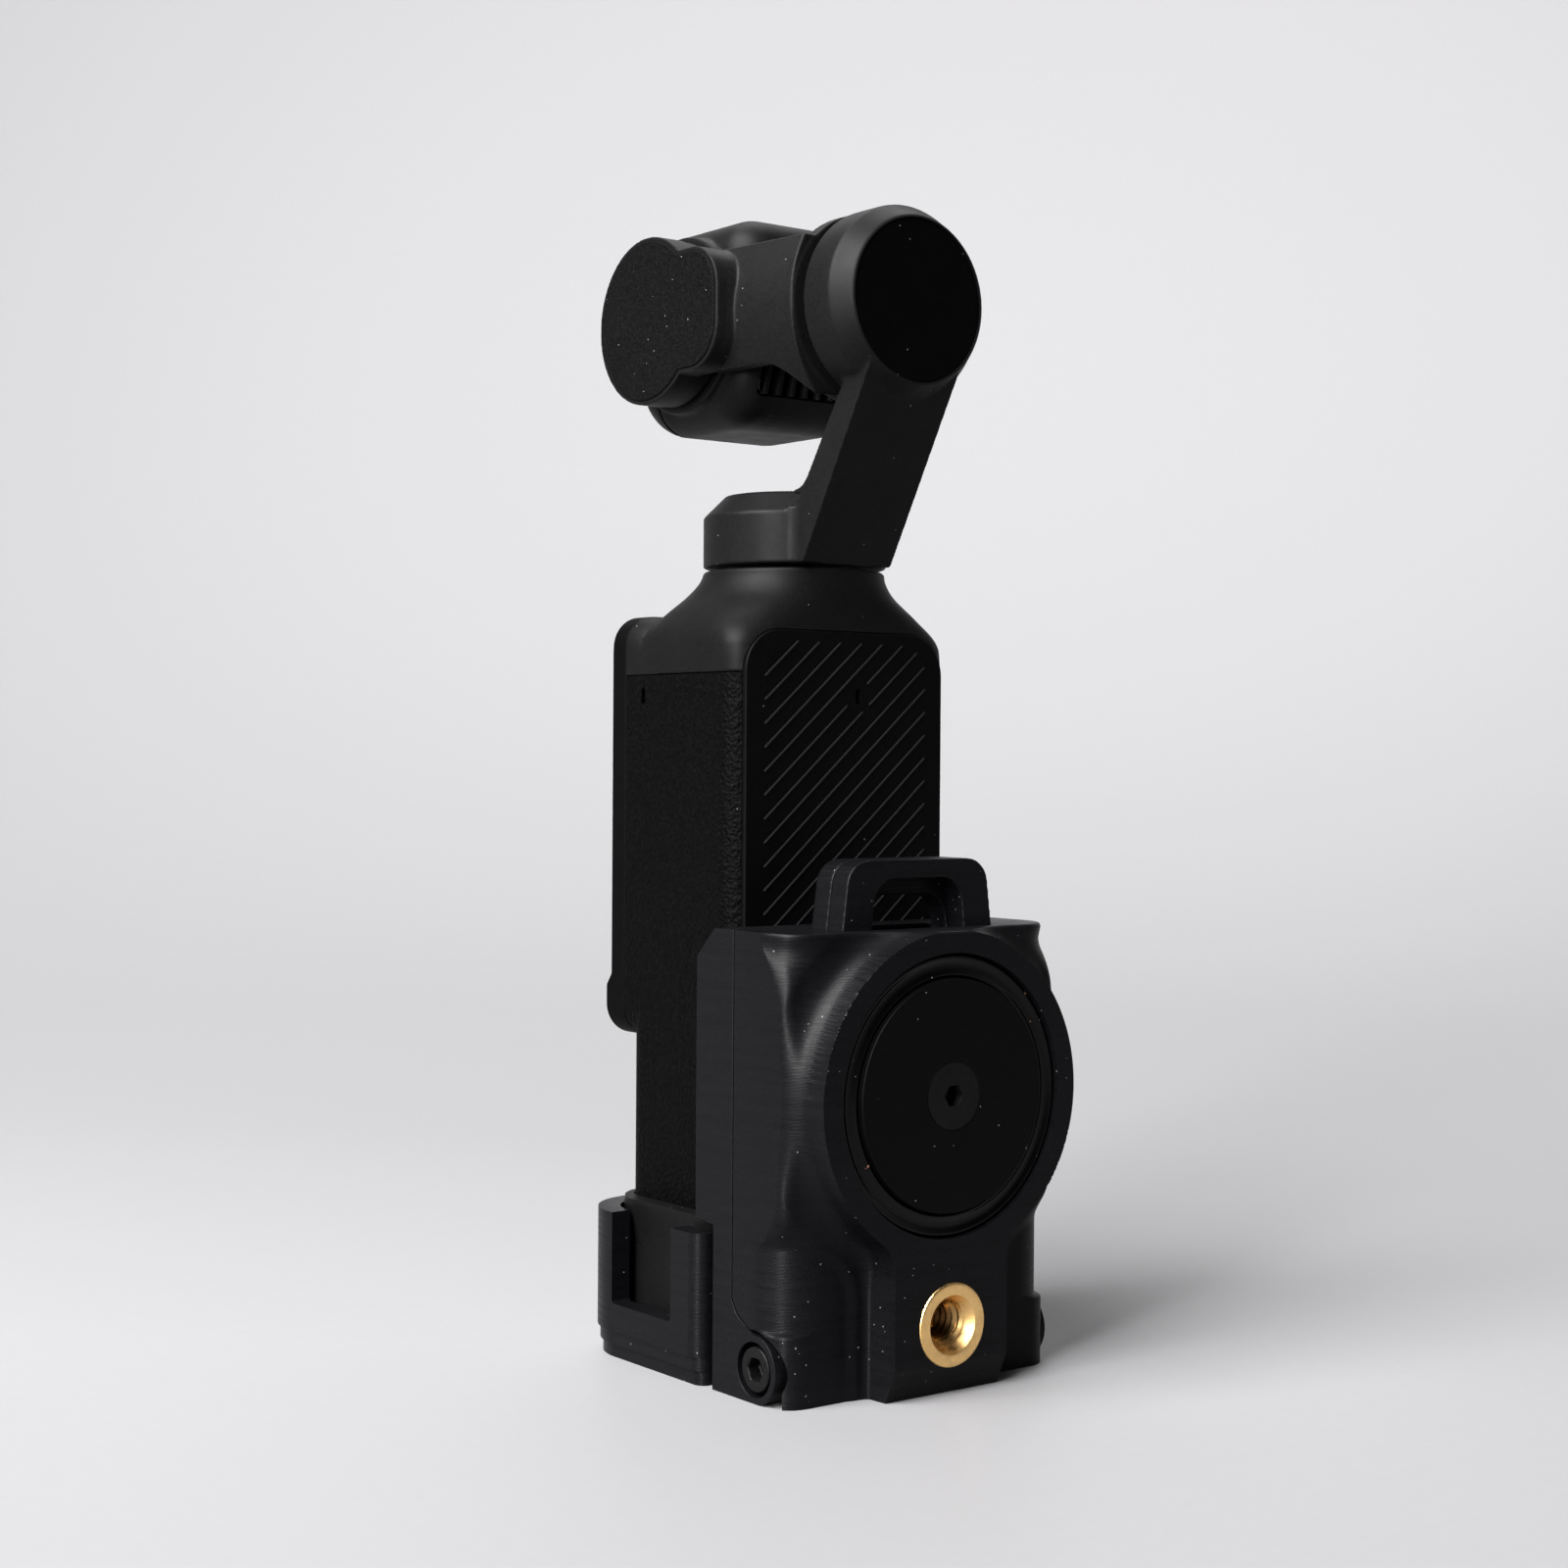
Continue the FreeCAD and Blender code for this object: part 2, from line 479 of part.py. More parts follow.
def make_rear_panel():
    block = panel_block(0.0).common(box(-40, 40, 0, HANDLE_REAR, 0, 200))
    body = plan_prism(HANDLE_HALF_W, HANDLE_FRONT, HANDLE_REAR, HANDLE_BOTTOM, 200, HANDLE_R, 4.2)
    block = block.common(body)
    mic = rear_prism([(-2.85, MIC_Z - 1.2), (-1.75, MIC_Z - 1.2), (-1.75, MIC_Z + 1.3), (-2.85, MIC_Z + 1.3)],
                     [0.5, 0.5, 0.5, 0.5], HANDLE_REAR - 1.0, HANDLE_REAR + 1)
    # thin raised slanting ribs, stopped short of the edge and broken round the microphone slot
    foot = HANDLE_REAR - 0.05
    rise = RIB_SLOPE * (RIB_FIELD_X[1] - RIB_FIELD_X[0])
    up = RIB_WIDTH * math.hypot(1, RIB_SLOPE)
    count = int((PANEL_TOP - PANEL_BOTTOM + rise) / RIB_PITCH)
    field = rear_prism([(RIB_FIELD_X[0], PANEL_BOTTOM + 3), (RIB_FIELD_X[1], PANEL_BOTTOM + 3),
                        (RIB_FIELD_X[1], PANEL_TOP - 1.6), (RIB_FIELD_X[0], PANEL_TOP - 1.6)],
                       [1, 1, 4.5, 4.5], HANDLE_REAR - 1, HANDLE_REAR + 1)
    field = field.cut(cyl_y(2.2, HANDLE_REAR - 1, HANDLE_REAR + 1, -2.3, MIC_Z))
    ribs = []
    for i in range(count):
        z = PANEL_TOP - RIB_PITCH * i
        line = [V(RIB_FIELD_X[0], foot, z), V(RIB_FIELD_X[1], foot, z - rise),
                V(RIB_FIELD_X[1], foot, z - rise + up), V(RIB_FIELD_X[0], foot, z + up)]
        line.append(line[0])
        rib = Part.Face(Part.makePolygon(line)).extrude(V(0, RIB_HEIGHT + 0.05, 0)).common(field)
        ribs.extend([piece for piece in rib.Solids if piece.Volume > 0.005])
    return block.fuse(ribs).cut(mic)


def make_shoulder():
    lower = plan_prism(HANDLE_HALF_W, HANDLE_FRONT, HANDLE_REAR, SEAM_Z + 0.1, 110.4, HANDLE_R, 4.2)
    sections = [oval_wire(HANDLE_HALF_W - 0.05, HANDLE_FRONT + 0.05, HANDLE_REAR - 0.05, 110.3, 7.0),
                oval_wire(20.6, -15.7, 13.3, 112.6, 5.4),
                oval_wire(18.6, -15.2, 12.9, 115.6, 3.6),
                oval_wire(15.9, -14.8, 12.9, 118.6, 2.4),
                oval_wire(14.5, -14.3, 13.4, 121.0, 2.05),
                oval_wire(14.2, -14.2, 13.9, SHOULDER_TOP, 2.0)]
    dome = Part.makeLoft(sections, True, False)
    body = lower.fuse([dome, screen_seat(SEAM_Z + 0.1, SCREEN_Z[1], 0, SCREEN_CORNER)])
    body = body.cut(panel_block(0.1))
    hollow = cyl_z(12.4, SEAM_Z - 1, SHOULDER_TOP - 1.5, 0, -1.2)
    body = body.cut(hollow)
    return body.cut(cyl_z(3.0 + 0.4, SHOULDER_TOP - 3, SHOULDER_TOP + 1, 0, 0))


def make_battery():
    return plan_prism(15.0, -11.5, 8.5, 27.0, 90.0, 2.5, 2.5)


def make_main_board():
    return box(-16.5, 16.5, 9.3, 10.9, 27.0, 100.0)


def make_usb_socket():
    shell = rear_free_slot(4.4, 1.55, 21.3, 26.8)
    return shell.cut(rear_free_slot(4.1, 1.25, 20.9, 25.8))


def rear_free_slot(half_w, half_t, z0, z1):
    y = -0.75
    points = [V(-half_w, y - half_t, z0), V(half_w, y - half_t, z0), V(half_w, y + half_t, z0),
              V(-half_w, y + half_t, z0)]
    r = half_t * 0.9
    return face_of(points, [r, r, r, r]).extrude(V(0, 0, z1 - z0))


def make_pan_stator():
    can = cyl_z(11.6, 107.5, 119.8, 0, -0.6)
    return can.cut(cyl_z(3.2 + FIT + 1.4, 106, 121, 0, 0))


def make_pan_bearing():
    outer = cyl_z(3.2 + FIT + 1.4, 116.0, 119.6, 0, 0)
    return outer.cut(cyl_z(3.0 + FIT, 115, 121, 0, 0))


def screen_outline(z1, r_high, y0, y1):
    return rear_prism([(-SCREEN_HALF_W, SCREEN_Z[0]), (SCREEN_HALF_W, SCREEN_Z[0]),
                       (SCREEN_HALF_W, z1), (-SCREEN_HALF_W, z1)],
                      [SCREEN_CORNER, SCREEN_CORNER, r_high, r_high], y0, y1)


def display_block(y0):
    half = DISPLAY_HALF_W
    return rear_prism([(-half, DISPLAY_Z[0]), (half, DISPLAY_Z[0]), (half, DISPLAY_Z[1]), (-half, DISPLAY_Z[1])],
                      [1.5, 1.5, 1.5, 1.5], y0, SCREEN_FRONT + 1.0)


def make_screen_frame():
    body = screen_outline(SCREEN_Z[1], SCREEN_CORNER, SCREEN_FRONT, HANDLE_FRONT - GAP)
    lip = screen_outline(SCREEN_LIP_TOP, 0, SCREEN_FRONT - SCREEN_LIP, SCREEN_FRONT + 0.5)
    sunk = SCREEN_FRONT - SCREEN_LIP - 1
    slope = side_prism([(sunk, SCREEN_LIP_TOP - LIP_SLOPE), (SCREEN_FRONT, SCREEN_LIP_TOP),
                        (SCREEN_FRONT, SCREEN_LIP_TOP + 1), (sunk, SCREEN_LIP_TOP + 1)],
                       [0, 0, 0, 0], -30, 30)
    stub = cyl_y(SWIVEL_R, HANDLE_FRONT - GAP - 0.2, HANDLE_FRONT + 2.2, 0, SWIVEL_Z)
    body = body.fuse([lip.cut(slope), stub])
    return body.cut(display_block(SCREEN_FRONT - 1)).removeSplitter()


def make_screen_glass():
    return display_block(SCREEN_FRONT + 0.05)


def make_stick_ring():
    ring = cyl_y(4.4, HANDLE_FRONT + 0.2, HANDLE_FRONT + 1.4, 0, STICK_Z)
    return ring.cut(cyl_y(3.3, HANDLE_FRONT - 1, HANDLE_FRONT + 2, 0, STICK_Z))


def make_stick_cap():
    stem = cyl_y(2.4, HANDLE_FRONT - 0.6, HANDLE_FRONT + 1.2, 0, STICK_Z)
    dome = Part.makeSphere(8.0, V(0, HANDLE_FRONT + 6.0, STICK_Z))
    dome = dome.common(cyl_y(3.9, HANDLE_FRONT - 3, HANDLE_FRONT - 0.6, 0, STICK_Z))
    return stem.fuse(dome)


def make_record_button():
    body = cyl_y(BUTTON_R, HANDLE_FRONT - 0.9, HANDLE_FRONT + 1.2, 0, BUTTON_Z)
    dish = Part.makeSphere(18.0, V(0, HANDLE_FRONT - 18.4, BUTTON_Z))
    return body.cut(dish)


# ---------------------------------------------------------------- pan stage
def make_pan_arm():
    z0 = SHOULDER_TOP + PAN_GAP
    chamfer = 3.4
    hub = cyl_z(HUB_R, z0, HUB_TOP - chamfer, 0, 0)
    hub = hub.fuse(cone_z(HUB_R, HUB_R - chamfer, HUB_TOP - chamfer, HUB_TOP, 0, 0))
    inner = cyl_z(HUB_R - 3.9, z0 + 2.0, HUB_TOP - 2.2, 0, 0)
    lean = (29.6 - 12.3) / (152.0 - z0)
    thick = 4.8
    top = ROLL_Z - 4.0
    arm = side_prism([(12.3 - thick - 1.5, z0), (12.3, z0), (12.3 + lean * (top - z0), top),
                      (12.3 - thick + lean * (top - z0), top)],
                     [0, 0, 0, 0], -ARM_HALF_W, ARM_HALF_W)
    arm = arm.common(box(-20, 20, 0, ROLL_CAP_Y - 0.4, z0, 180))
    housing = cyl_y(ROLL_R, 20.5, 26.6, 0, ROLL_Z)
    housing = housing.fuse(cone_y(ROLL_R, ROLL_CAP_R + 0.3, 26.6, ROLL_CAP_Y, 0, ROLL_Z))
    body = hub.fuse([arm, housing]).cut(inner)
    body = body.cut(cyl_y(ROLL_R - 1.5, 22.0, 26.6, 0, ROLL_Z))
    body = body.cut(cyl_y(ROLL_CAP_R, 25.0, ROLL_CAP_Y + 1, 0, ROLL_Z))
    body = body.cut(cyl_y(3.0 + 0.4, 20, 23, 0, ROLL_Z))
    body = body.cut(cyl_z(3.0 + FIT, z0 - 1, z0 + 3, 0, 0))
    return body.removeSplitter()


def make_pan_shaft():
    return cyl_z(3.0, 109.0, SHOULDER_TOP + PAN_GAP + 2.0, 0, 0)


def make_roll_cap():
    return cyl_y(ROLL_CAP_R - 0.08, ROLL_CAP_Y - 1.6, ROLL_CAP_Y - 0.25, 0, ROLL_Z)


def make_roll_stator():
    can = cyl_y(ROLL_R - 1.9, 22.6, 25.0, 0, ROLL_Z)
    can = can.fuse(cyl_y(ROLL_CAP_R - 0.2, 25.0, 28.2, 0, ROLL_Z))
    return can.cut(cyl_y(4.6, 21, 29, 0, ROLL_Z))


def make_roll_bearing():
    return cyl_y(4.6, 23.4, 27.0, 0, ROLL_Z).cut(cyl_y(2.5 + FIT, 22, 29, 0, ROLL_Z))


# ---------------------------------------------------------------- roll stage
def lobed_face(x, shrink):
    """The outline of the tilt motor: a large round end and a smaller rear lobe."""
    big = Part.makeCylinder(TILT_R - shrink, 1, V(x, TILT_Y, ROLL_Z), V(1, 0, 0))
    lobe = side_prism([(TILT_Y, ROLL_Z - LOBE_R + shrink), (LOBE_Y + LOBE_R - shrink, ROLL_Z - LOBE_R + shrink),
                       (LOBE_Y + LOBE_R - shrink, ROLL_Z + LOBE_R - shrink),
                       (TILT_Y, ROLL_Z + LOBE_R - shrink)],
                      [0, 6.8 - shrink, 6.8 - shrink, 0], x, x + 1)
    return big.fuse(lobe).removeSplitter()


def make_roll_bracket():
    disc = cyl_y(ROLL_R, 15.6, 19.2, 0, ROLL_Z)
    plate_x = (12.2, 15.6)
    plate = side_prism([(-6.0, ROLL_Z - 9.0), (17.5, ROLL_Z - 9.0), (17.5, ROLL_Z + 9.6), (-6.0, ROLL_Z + 9.6)],
                       [0, 0, 0, 0], plate_x[0], plate_x[1])
    web = side_prism([(8.0, ROLL_Z - 9.0), (19.2, ROLL_Z - 13.4), (19.2, ROLL_Z + 9.6), (8.0, ROLL_Z + 9.6)],
                     [0, 0, 0, 0], 4.0, plate_x[1])
    limit = cyl_y(ROLL_R + 1.6, -30, 19.2, 0, ROLL_Z)
    hollow = box(-20, plate_x[0], -30, 15.6, ROLL_Z - 30, ROLL_Z + 30)
    web = web.cut(hollow)
    body = disc.fuse([plate.common(limit), web.common(limit)])
    body = body.common(box(-20, 20, -30, 40, ROLL_Z - ROLL_R, ROLL_Z + ROLL_R))
    body = body.cut(cyl_y(2.5, 12, 20, 0, ROLL_Z))
    body = body.cut(cyl_x(TILT_R - 1.4, 14.2, TILT_FACE_X, TILT_Y, ROLL_Z))
    return body.removeSplitter()


def make_tilt_housing():
    inner_x = 15.7
    big = cyl_x(TILT_R + 0.7, inner_x, TILT_FACE_X - 0.9, TILT_Y, ROLL_Z)
    r = LOBE_R + 0.7
    lobe = side_prism([(TILT_Y, ROLL_Z - r), (LOBE_Y + r, ROLL_Z - r), (LOBE_Y + r, ROLL_Z + r),
                       (TILT_Y, ROLL_Z + r)], [0, 7.4, 7.4, 0], inner_x, TILT_FACE_X - 0.9)
    body = big.fuse(lobe)
    neck = cyl_x(TILT_R - 0.2, 12.9, inner_x, TILT_Y, ROLL_Z)
    body = body.fuse(neck)
    body = body.cut(cyl_x(TILT_R - 1.4, 14.2, TILT_FACE_X, TILT_Y, ROLL_Z))
    body = body.cut(cyl_x(2.5 + 0.4, 10, 15, TILT_Y, ROLL_Z))
    body = body.cut(box(12.0, inner_x, -6.3, 20, ROLL_Z - 20, ROLL_Z + 20))
    return body.removeSplitter()


def make_tilt_cap():
    plate = lobed_face(TILT_FACE_X - 0.8, 0.35)
    return plate.common(box(0, TILT_FACE_X, -60, 60, 100, 200))


def make_roll_shaft():
    return cyl_y(2.5, 15.6, 28.0, 0, ROLL_Z)


def make_tilt_stator():
    can = cyl_x(TILT_R - 1.5, 14.3, TILT_FACE_X - 1.0, TILT_Y, ROLL_Z)
    return can.cut(cyl_x(4.4, 13, 20, TILT_Y, ROLL_Z))


def make_tilt_bearing():
    return cyl_x(4.4, 14.6, 17.6, TILT_Y, ROLL_Z).cut(cyl_x(2.5 + FIT, 13, 19, TILT_Y, ROLL_Z))


# ---------------------------------------------------------------- tilt stage
def head_block(x0, x1, y0, y1, shrink, corner):
    z0 = ROLL_Z - HEAD_HALF_H + shrink
    z1 = ROLL_Z + HEAD_HALF_H - shrink
    block = side_prism([(HEAD_Y[0] + shrink, z0), (HEAD_Y[1] - shrink, z0), (HEAD_Y[1] - shrink, z1),
                        (HEAD_Y[0] + shrink, z1)], [corner, corner + 2, corner + 2, corner], x0, x1)
    return block.common(box(x0, x1, y0, y1, z0, z1))


def make_head_shell():
    body = head_block(HEAD_X[0], HEAD_X[1], HEAD_SPLIT, HEAD_Y[1], 0, 9.0)
    body = rounded_ends(body)
    body = body.cut(head_block(HEAD_X[0] + 1.6, HEAD_X[1] - 1.6, HEAD_SPLIT - 1, HEAD_Y[1], 1.6, 7.4))
    body = body.cut(fin_bay(0.0))
    body = body.cut(cyl_x(2.5, HEAD_X[1] - 4, HEAD_X[1] + 2, TILT_Y, ROLL_Z))
    return body.removeSplitter()


def rounded_ends(body):
    """Rounds the four long edges at the two ends of the head along X."""
    x0, x1 = HEAD_X
    keep = plan_face_prism([(x0, HEAD_Y[0]), (x1, HEAD_Y[0]), (x1, HEAD_Y[1]), (x0, HEAD_Y[1])], 4.5)
    keep_front = rear_prism([(x0, ROLL_Z - HEAD_HALF_H), (x1, ROLL_Z - HEAD_HALF_H),
                             (x1, ROLL_Z + HEAD_HALF_H), (x0, ROLL_Z + HEAD_HALF_H)],
                            [4.0, 4.0, 4.0, 4.0], HEAD_Y[0] - 1, HEAD_Y[1] + 1)
    return body.common(keep).common(keep_front)


def plan_face_prism(points, r):
    return face_of([V(x, y, 100) for x, y in points], [r] * 4).extrude(V(0, 0, 120))


def fin_bay(extra):
    return box(-12.0 - extra, 8.6 + extra, -6.5, 5.0, ROLL_Z - 14.5, ROLL_Z + 8.0)


def make_head_front():
    body = rounded_ends(head_block(HEAD_X[0], HEAD_X[1], HEAD_Y[0], HEAD_SPLIT - 0.1, 0, 9.0))
    cavity = head_block(HEAD_X[0] + 1.6, HEAD_X[1] - 1.6, HEAD_Y[0] + 2.0, HEAD_SPLIT, 1.6, 7.4)
    body = body.cut(cavity)
    return body.cut(cyl_y(LENS_R + 0.2, HEAD_Y[0] - 2, HEAD_SPLIT, LENS_X, ROLL_Z)).removeSplitter()


def make_lens_barrel():
    tube = cyl_y(LENS_R, HEAD_Y[0] - 3.2, -15.0, LENS_X, ROLL_Z)
    tube = tube.cut(cone_y(9.4, 6.2, HEAD_Y[0] - 3.3, HEAD_Y[0] + 1.6, LENS_X, ROLL_Z))
    return tube.cut(cyl_y(6.2, HEAD_Y[0] + 1.5, -14, LENS_X, ROLL_Z))


def make_lens_ring():
    ring = cyl_y(LENS_R + 1.1, HEAD_Y[0] - 2.6, HEAD_Y[0] - 0.1, LENS_X, ROLL_Z)
    return ring.cut(cyl_y(LENS_R, HEAD_Y[0] - 4, HEAD_Y[0] + 1, LENS_X, ROLL_Z))


def make_lens_glass():
    disc = cyl_y(6.2, HEAD_Y[0] + 1.6, HEAD_Y[0] + 5.0, LENS_X, ROLL_Z)
    dome = Part.makeSphere(12.0, V(LENS_X, HEAD_Y[0] + 13.4, ROLL_Z))
    return disc.common(dome)


def make_sensor_module():
    return box(-10.5, 7.0, -14.9, -7.6, ROLL_Z - 9.5, ROLL_Z + 9.5)


def make_heat_sink():
    base = box(-12.0, 8.6, -6.5, -4.9, ROLL_Z - 14.5, ROLL_Z + 8.0)
    fins = []
    for i in range(9):
        x = -11.2 + 2.35 * i
        fins.append(box(x, x + 0.9, -5.0, 0.6, ROLL_Z - 13.6, ROLL_Z + 7.2))
    return base.fuse(fins).removeSplitter()


def make_tilt_shaft():
    return cyl_x(2.5, HEAD_X[1] - 1.6, 18.0, TILT_Y, ROLL_Z)


# ---------------------------------------------------------------- output
NODES = {
    "cradle_shell": make_cradle,
    "toe_cup": make_toe_cup,
    "toe_cup_screws": make_cup_screws,
    "base_adapter": make_base_adapter,
    "rear_leaf": make_leaf,
    "threaded_insert": make_insert,
    "ring_magnet": make_magnet_ring,
    "disc_plate": make_disc_plate,
    "disc_screw": make_disc_screw,
    "hinge_screw": make_hinge_screw,
    "hinge_nut": make_hinge_nut,
    "latch_loop_inner": make_latch_inner,
    "latch_loop_outer": make_latch_outer,
    "handle_shell": make_handle_shell,
    "rear_grip_panel": make_rear_panel,
    "shoulder_cover": make_shoulder,
    "battery": make_battery,
    "main_board": make_main_board,
    "usb_socket": make_usb_socket,
    "pan_stator": make_pan_stator,
    "pan_bearing": make_pan_bearing,
    "screen_frame": make_screen_frame,
    "screen_glass": make_screen_glass,
    "joystick_ring": make_stick_ring,
    "joystick_cap": make_stick_cap,
    "record_button": make_record_button,
    "pan_arm": make_pan_arm,
    "pan_shaft": make_pan_shaft,
    "roll_cap": make_roll_cap,
    "roll_stator": make_roll_stator,
    "roll_bearing": make_roll_bearing,
    "roll_bracket": make_roll_bracket,
    "roll_shaft": make_roll_shaft,
    "tilt_housing": make_tilt_housing,
    "tilt_cap": make_tilt_cap,
    "tilt_stator": make_tilt_stator,
    "tilt_bearing": make_tilt_bearing,
    "head_rear_shell": make_head_shell,
    "head_front_shell": make_head_front,
    "lens_barrel": make_lens_barrel,
    "lens_ring": make_lens_ring,
    "lens_glass": make_lens_glass,
    "sensor_module": make_sensor_module,
    "heat_sink": make_heat_sink,
    "tilt_shaft": make_tilt_shaft,
}

os.makedirs("parts", exist_ok=True)
for node, make in NODES.items():
    shape = make()
    if not shape.isValid():
        print("invalid", node)
    shape.exportStep("parts/" + node + ".step")
    print(node, round(shape.Volume, 2), len(shape.Solids))
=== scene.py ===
"""Looks of the pocket gimbal camera in its printed mount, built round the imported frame."""
import json
import math

import bmesh
import bpy
import numpy as np
from mathutils import Matrix, Vector

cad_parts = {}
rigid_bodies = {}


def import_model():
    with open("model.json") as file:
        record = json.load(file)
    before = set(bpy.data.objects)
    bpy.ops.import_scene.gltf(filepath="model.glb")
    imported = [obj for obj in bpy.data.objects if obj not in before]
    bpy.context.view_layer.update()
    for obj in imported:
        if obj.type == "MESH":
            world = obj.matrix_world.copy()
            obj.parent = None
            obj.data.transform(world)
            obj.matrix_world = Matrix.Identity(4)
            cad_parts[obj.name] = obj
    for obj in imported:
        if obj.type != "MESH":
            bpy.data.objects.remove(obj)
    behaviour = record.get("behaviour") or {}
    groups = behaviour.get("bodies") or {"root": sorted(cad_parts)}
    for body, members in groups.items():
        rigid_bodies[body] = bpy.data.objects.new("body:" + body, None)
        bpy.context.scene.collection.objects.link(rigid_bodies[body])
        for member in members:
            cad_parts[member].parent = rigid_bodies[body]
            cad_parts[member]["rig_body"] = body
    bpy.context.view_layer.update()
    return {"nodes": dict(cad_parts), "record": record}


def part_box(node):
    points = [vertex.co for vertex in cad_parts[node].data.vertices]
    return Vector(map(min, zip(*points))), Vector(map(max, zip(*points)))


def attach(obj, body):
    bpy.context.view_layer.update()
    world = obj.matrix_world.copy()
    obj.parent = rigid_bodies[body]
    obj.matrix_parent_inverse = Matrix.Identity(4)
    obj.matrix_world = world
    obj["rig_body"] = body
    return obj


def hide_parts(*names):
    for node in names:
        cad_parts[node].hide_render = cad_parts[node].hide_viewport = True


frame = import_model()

MM = 0.001
BODY_OF = {n: o["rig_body"] for n, o in frame["nodes"].items()}
SLOT_OF = {s["node"]: s for s in frame["record"]["subparts"]}
JOINT_OF = {j["name"]: j for j in frame["record"]["behaviour"]["joints"]}


def box_mm(node):
    """Lowest and highest corners of a CAD node, in millimetres to a hundredth."""
    return [[round(c / MM, 2) for c in corner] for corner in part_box(node)]


def middle_mm(node, axis):
    """Middle of a CAD node along one axis, in millimetres to a tenth."""
    lo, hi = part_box(node)
    return round((lo[axis] + hi[axis]) / 2 / MM, 1)


def joint_mm(name):
    """A joint's place, in millimetres."""
    return [round(c / MM, 2) for c in JOINT_OF[name]["pos_m"]]


# ---------------------------------------------------------------- mesh helpers
def new_object(name, mesh):
    ob = bpy.data.objects.new(name, mesh)
    bpy.context.scene.collection.objects.link(ob)
    return ob


def smooth(mesh, angle=35):
    """Smooth shading with the edges sharper than an angle kept."""
    for p in mesh.polygons:
        p.use_smooth = True
    mesh.set_sharp_from_angle(angle=math.radians(angle))


def bevelled(ob, width, segments=2, angle=30):
    """Rounds the edges sharper than an angle, with a width in millimetres."""
    mod = ob.modifiers.new("edge", "BEVEL")
    mod.width = width * MM
    mod.segments = segments
    mod.limit_method = "ANGLE"
    mod.angle_limit = math.radians(angle)
    mod.harden_normals = True
    mod.use_clamp_overlap = True
    mod.miter_outer = "MITER_ARC"


def finish_piece(ob, material, slot, body, *nodes, weigh=True):
    """Gives a piece its material and body, and puts it in the place of its CAD nodes."""
    ob.data.materials.clear()
    ob.data.materials.append(material)
    if weigh:
        normals = ob.modifiers.new("normals", "WEIGHTED_NORMAL")
        normals.keep_sharp = True
        normals.weight = 90
    if nodes:
        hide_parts(*nodes)
    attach(ob, body)


WELD = 4e-6                     # metres between points that are one point
FLAT = math.radians(1.5)        # turn between faces that count as one face


def clean_copy(node):
    """The CAD node's mesh with its points welded and its flat faces whole."""
    bm = bmesh.new()
    bm.from_mesh(frame["nodes"][node].data)
    bmesh.ops.remove_doubles(bm, verts=bm.verts, dist=WELD)
    bmesh.ops.dissolve_limit(bm, angle_limit=FLAT, use_dissolve_boundaries=False,
                             verts=bm.verts, edges=bm.edges, delimit=set())
    return bm


def refined(node, material, slot, width):
    """The CAD node's shape with rounded edges and clean shading."""
    bm = clean_copy(node)
    mesh = bpy.data.meshes.new("look_" + node)
    bm.to_mesh(mesh)
    bm.free()
    smooth(mesh, 30)
    ob = new_object("look_" + node, mesh)
    bevelled(ob, width)
    finish_piece(ob, material, slot, BODY_OF[node], node)


def mesh_object(name, verts_mm, faces, angle=35):
    """An object from points in millimetres."""
    mesh = bpy.data.meshes.new(name)
    mesh.from_pydata([tuple(c * MM for c in v) for v in verts_mm], [], faces)
    mesh.update()
    smooth(mesh, angle)
    return new_object(name, mesh)


# ---------------------------------------------------------------- materials
def principled(name, colour, rough, spec, metal=0.0, coat=0.0, coat_rough=0.1):
    m = bpy.data.materials.new(name)
    m.use_nodes = True
    b = m.node_tree.nodes["Principled BSDF"]
    b.inputs["Base Color"].default_value = (*colour, 1)
    b.inputs["Roughness"].default_value = rough
    b.inputs["Specular IOR Level"].default_value = spec
    b.inputs["Metallic"].default_value = metal
    b.inputs["Coat Weight"].default_value = coat
    b.inputs["Coat Roughness"].default_value = coat_rough
    return m


def times(colour, k):
    return tuple(c * k for c in colour)


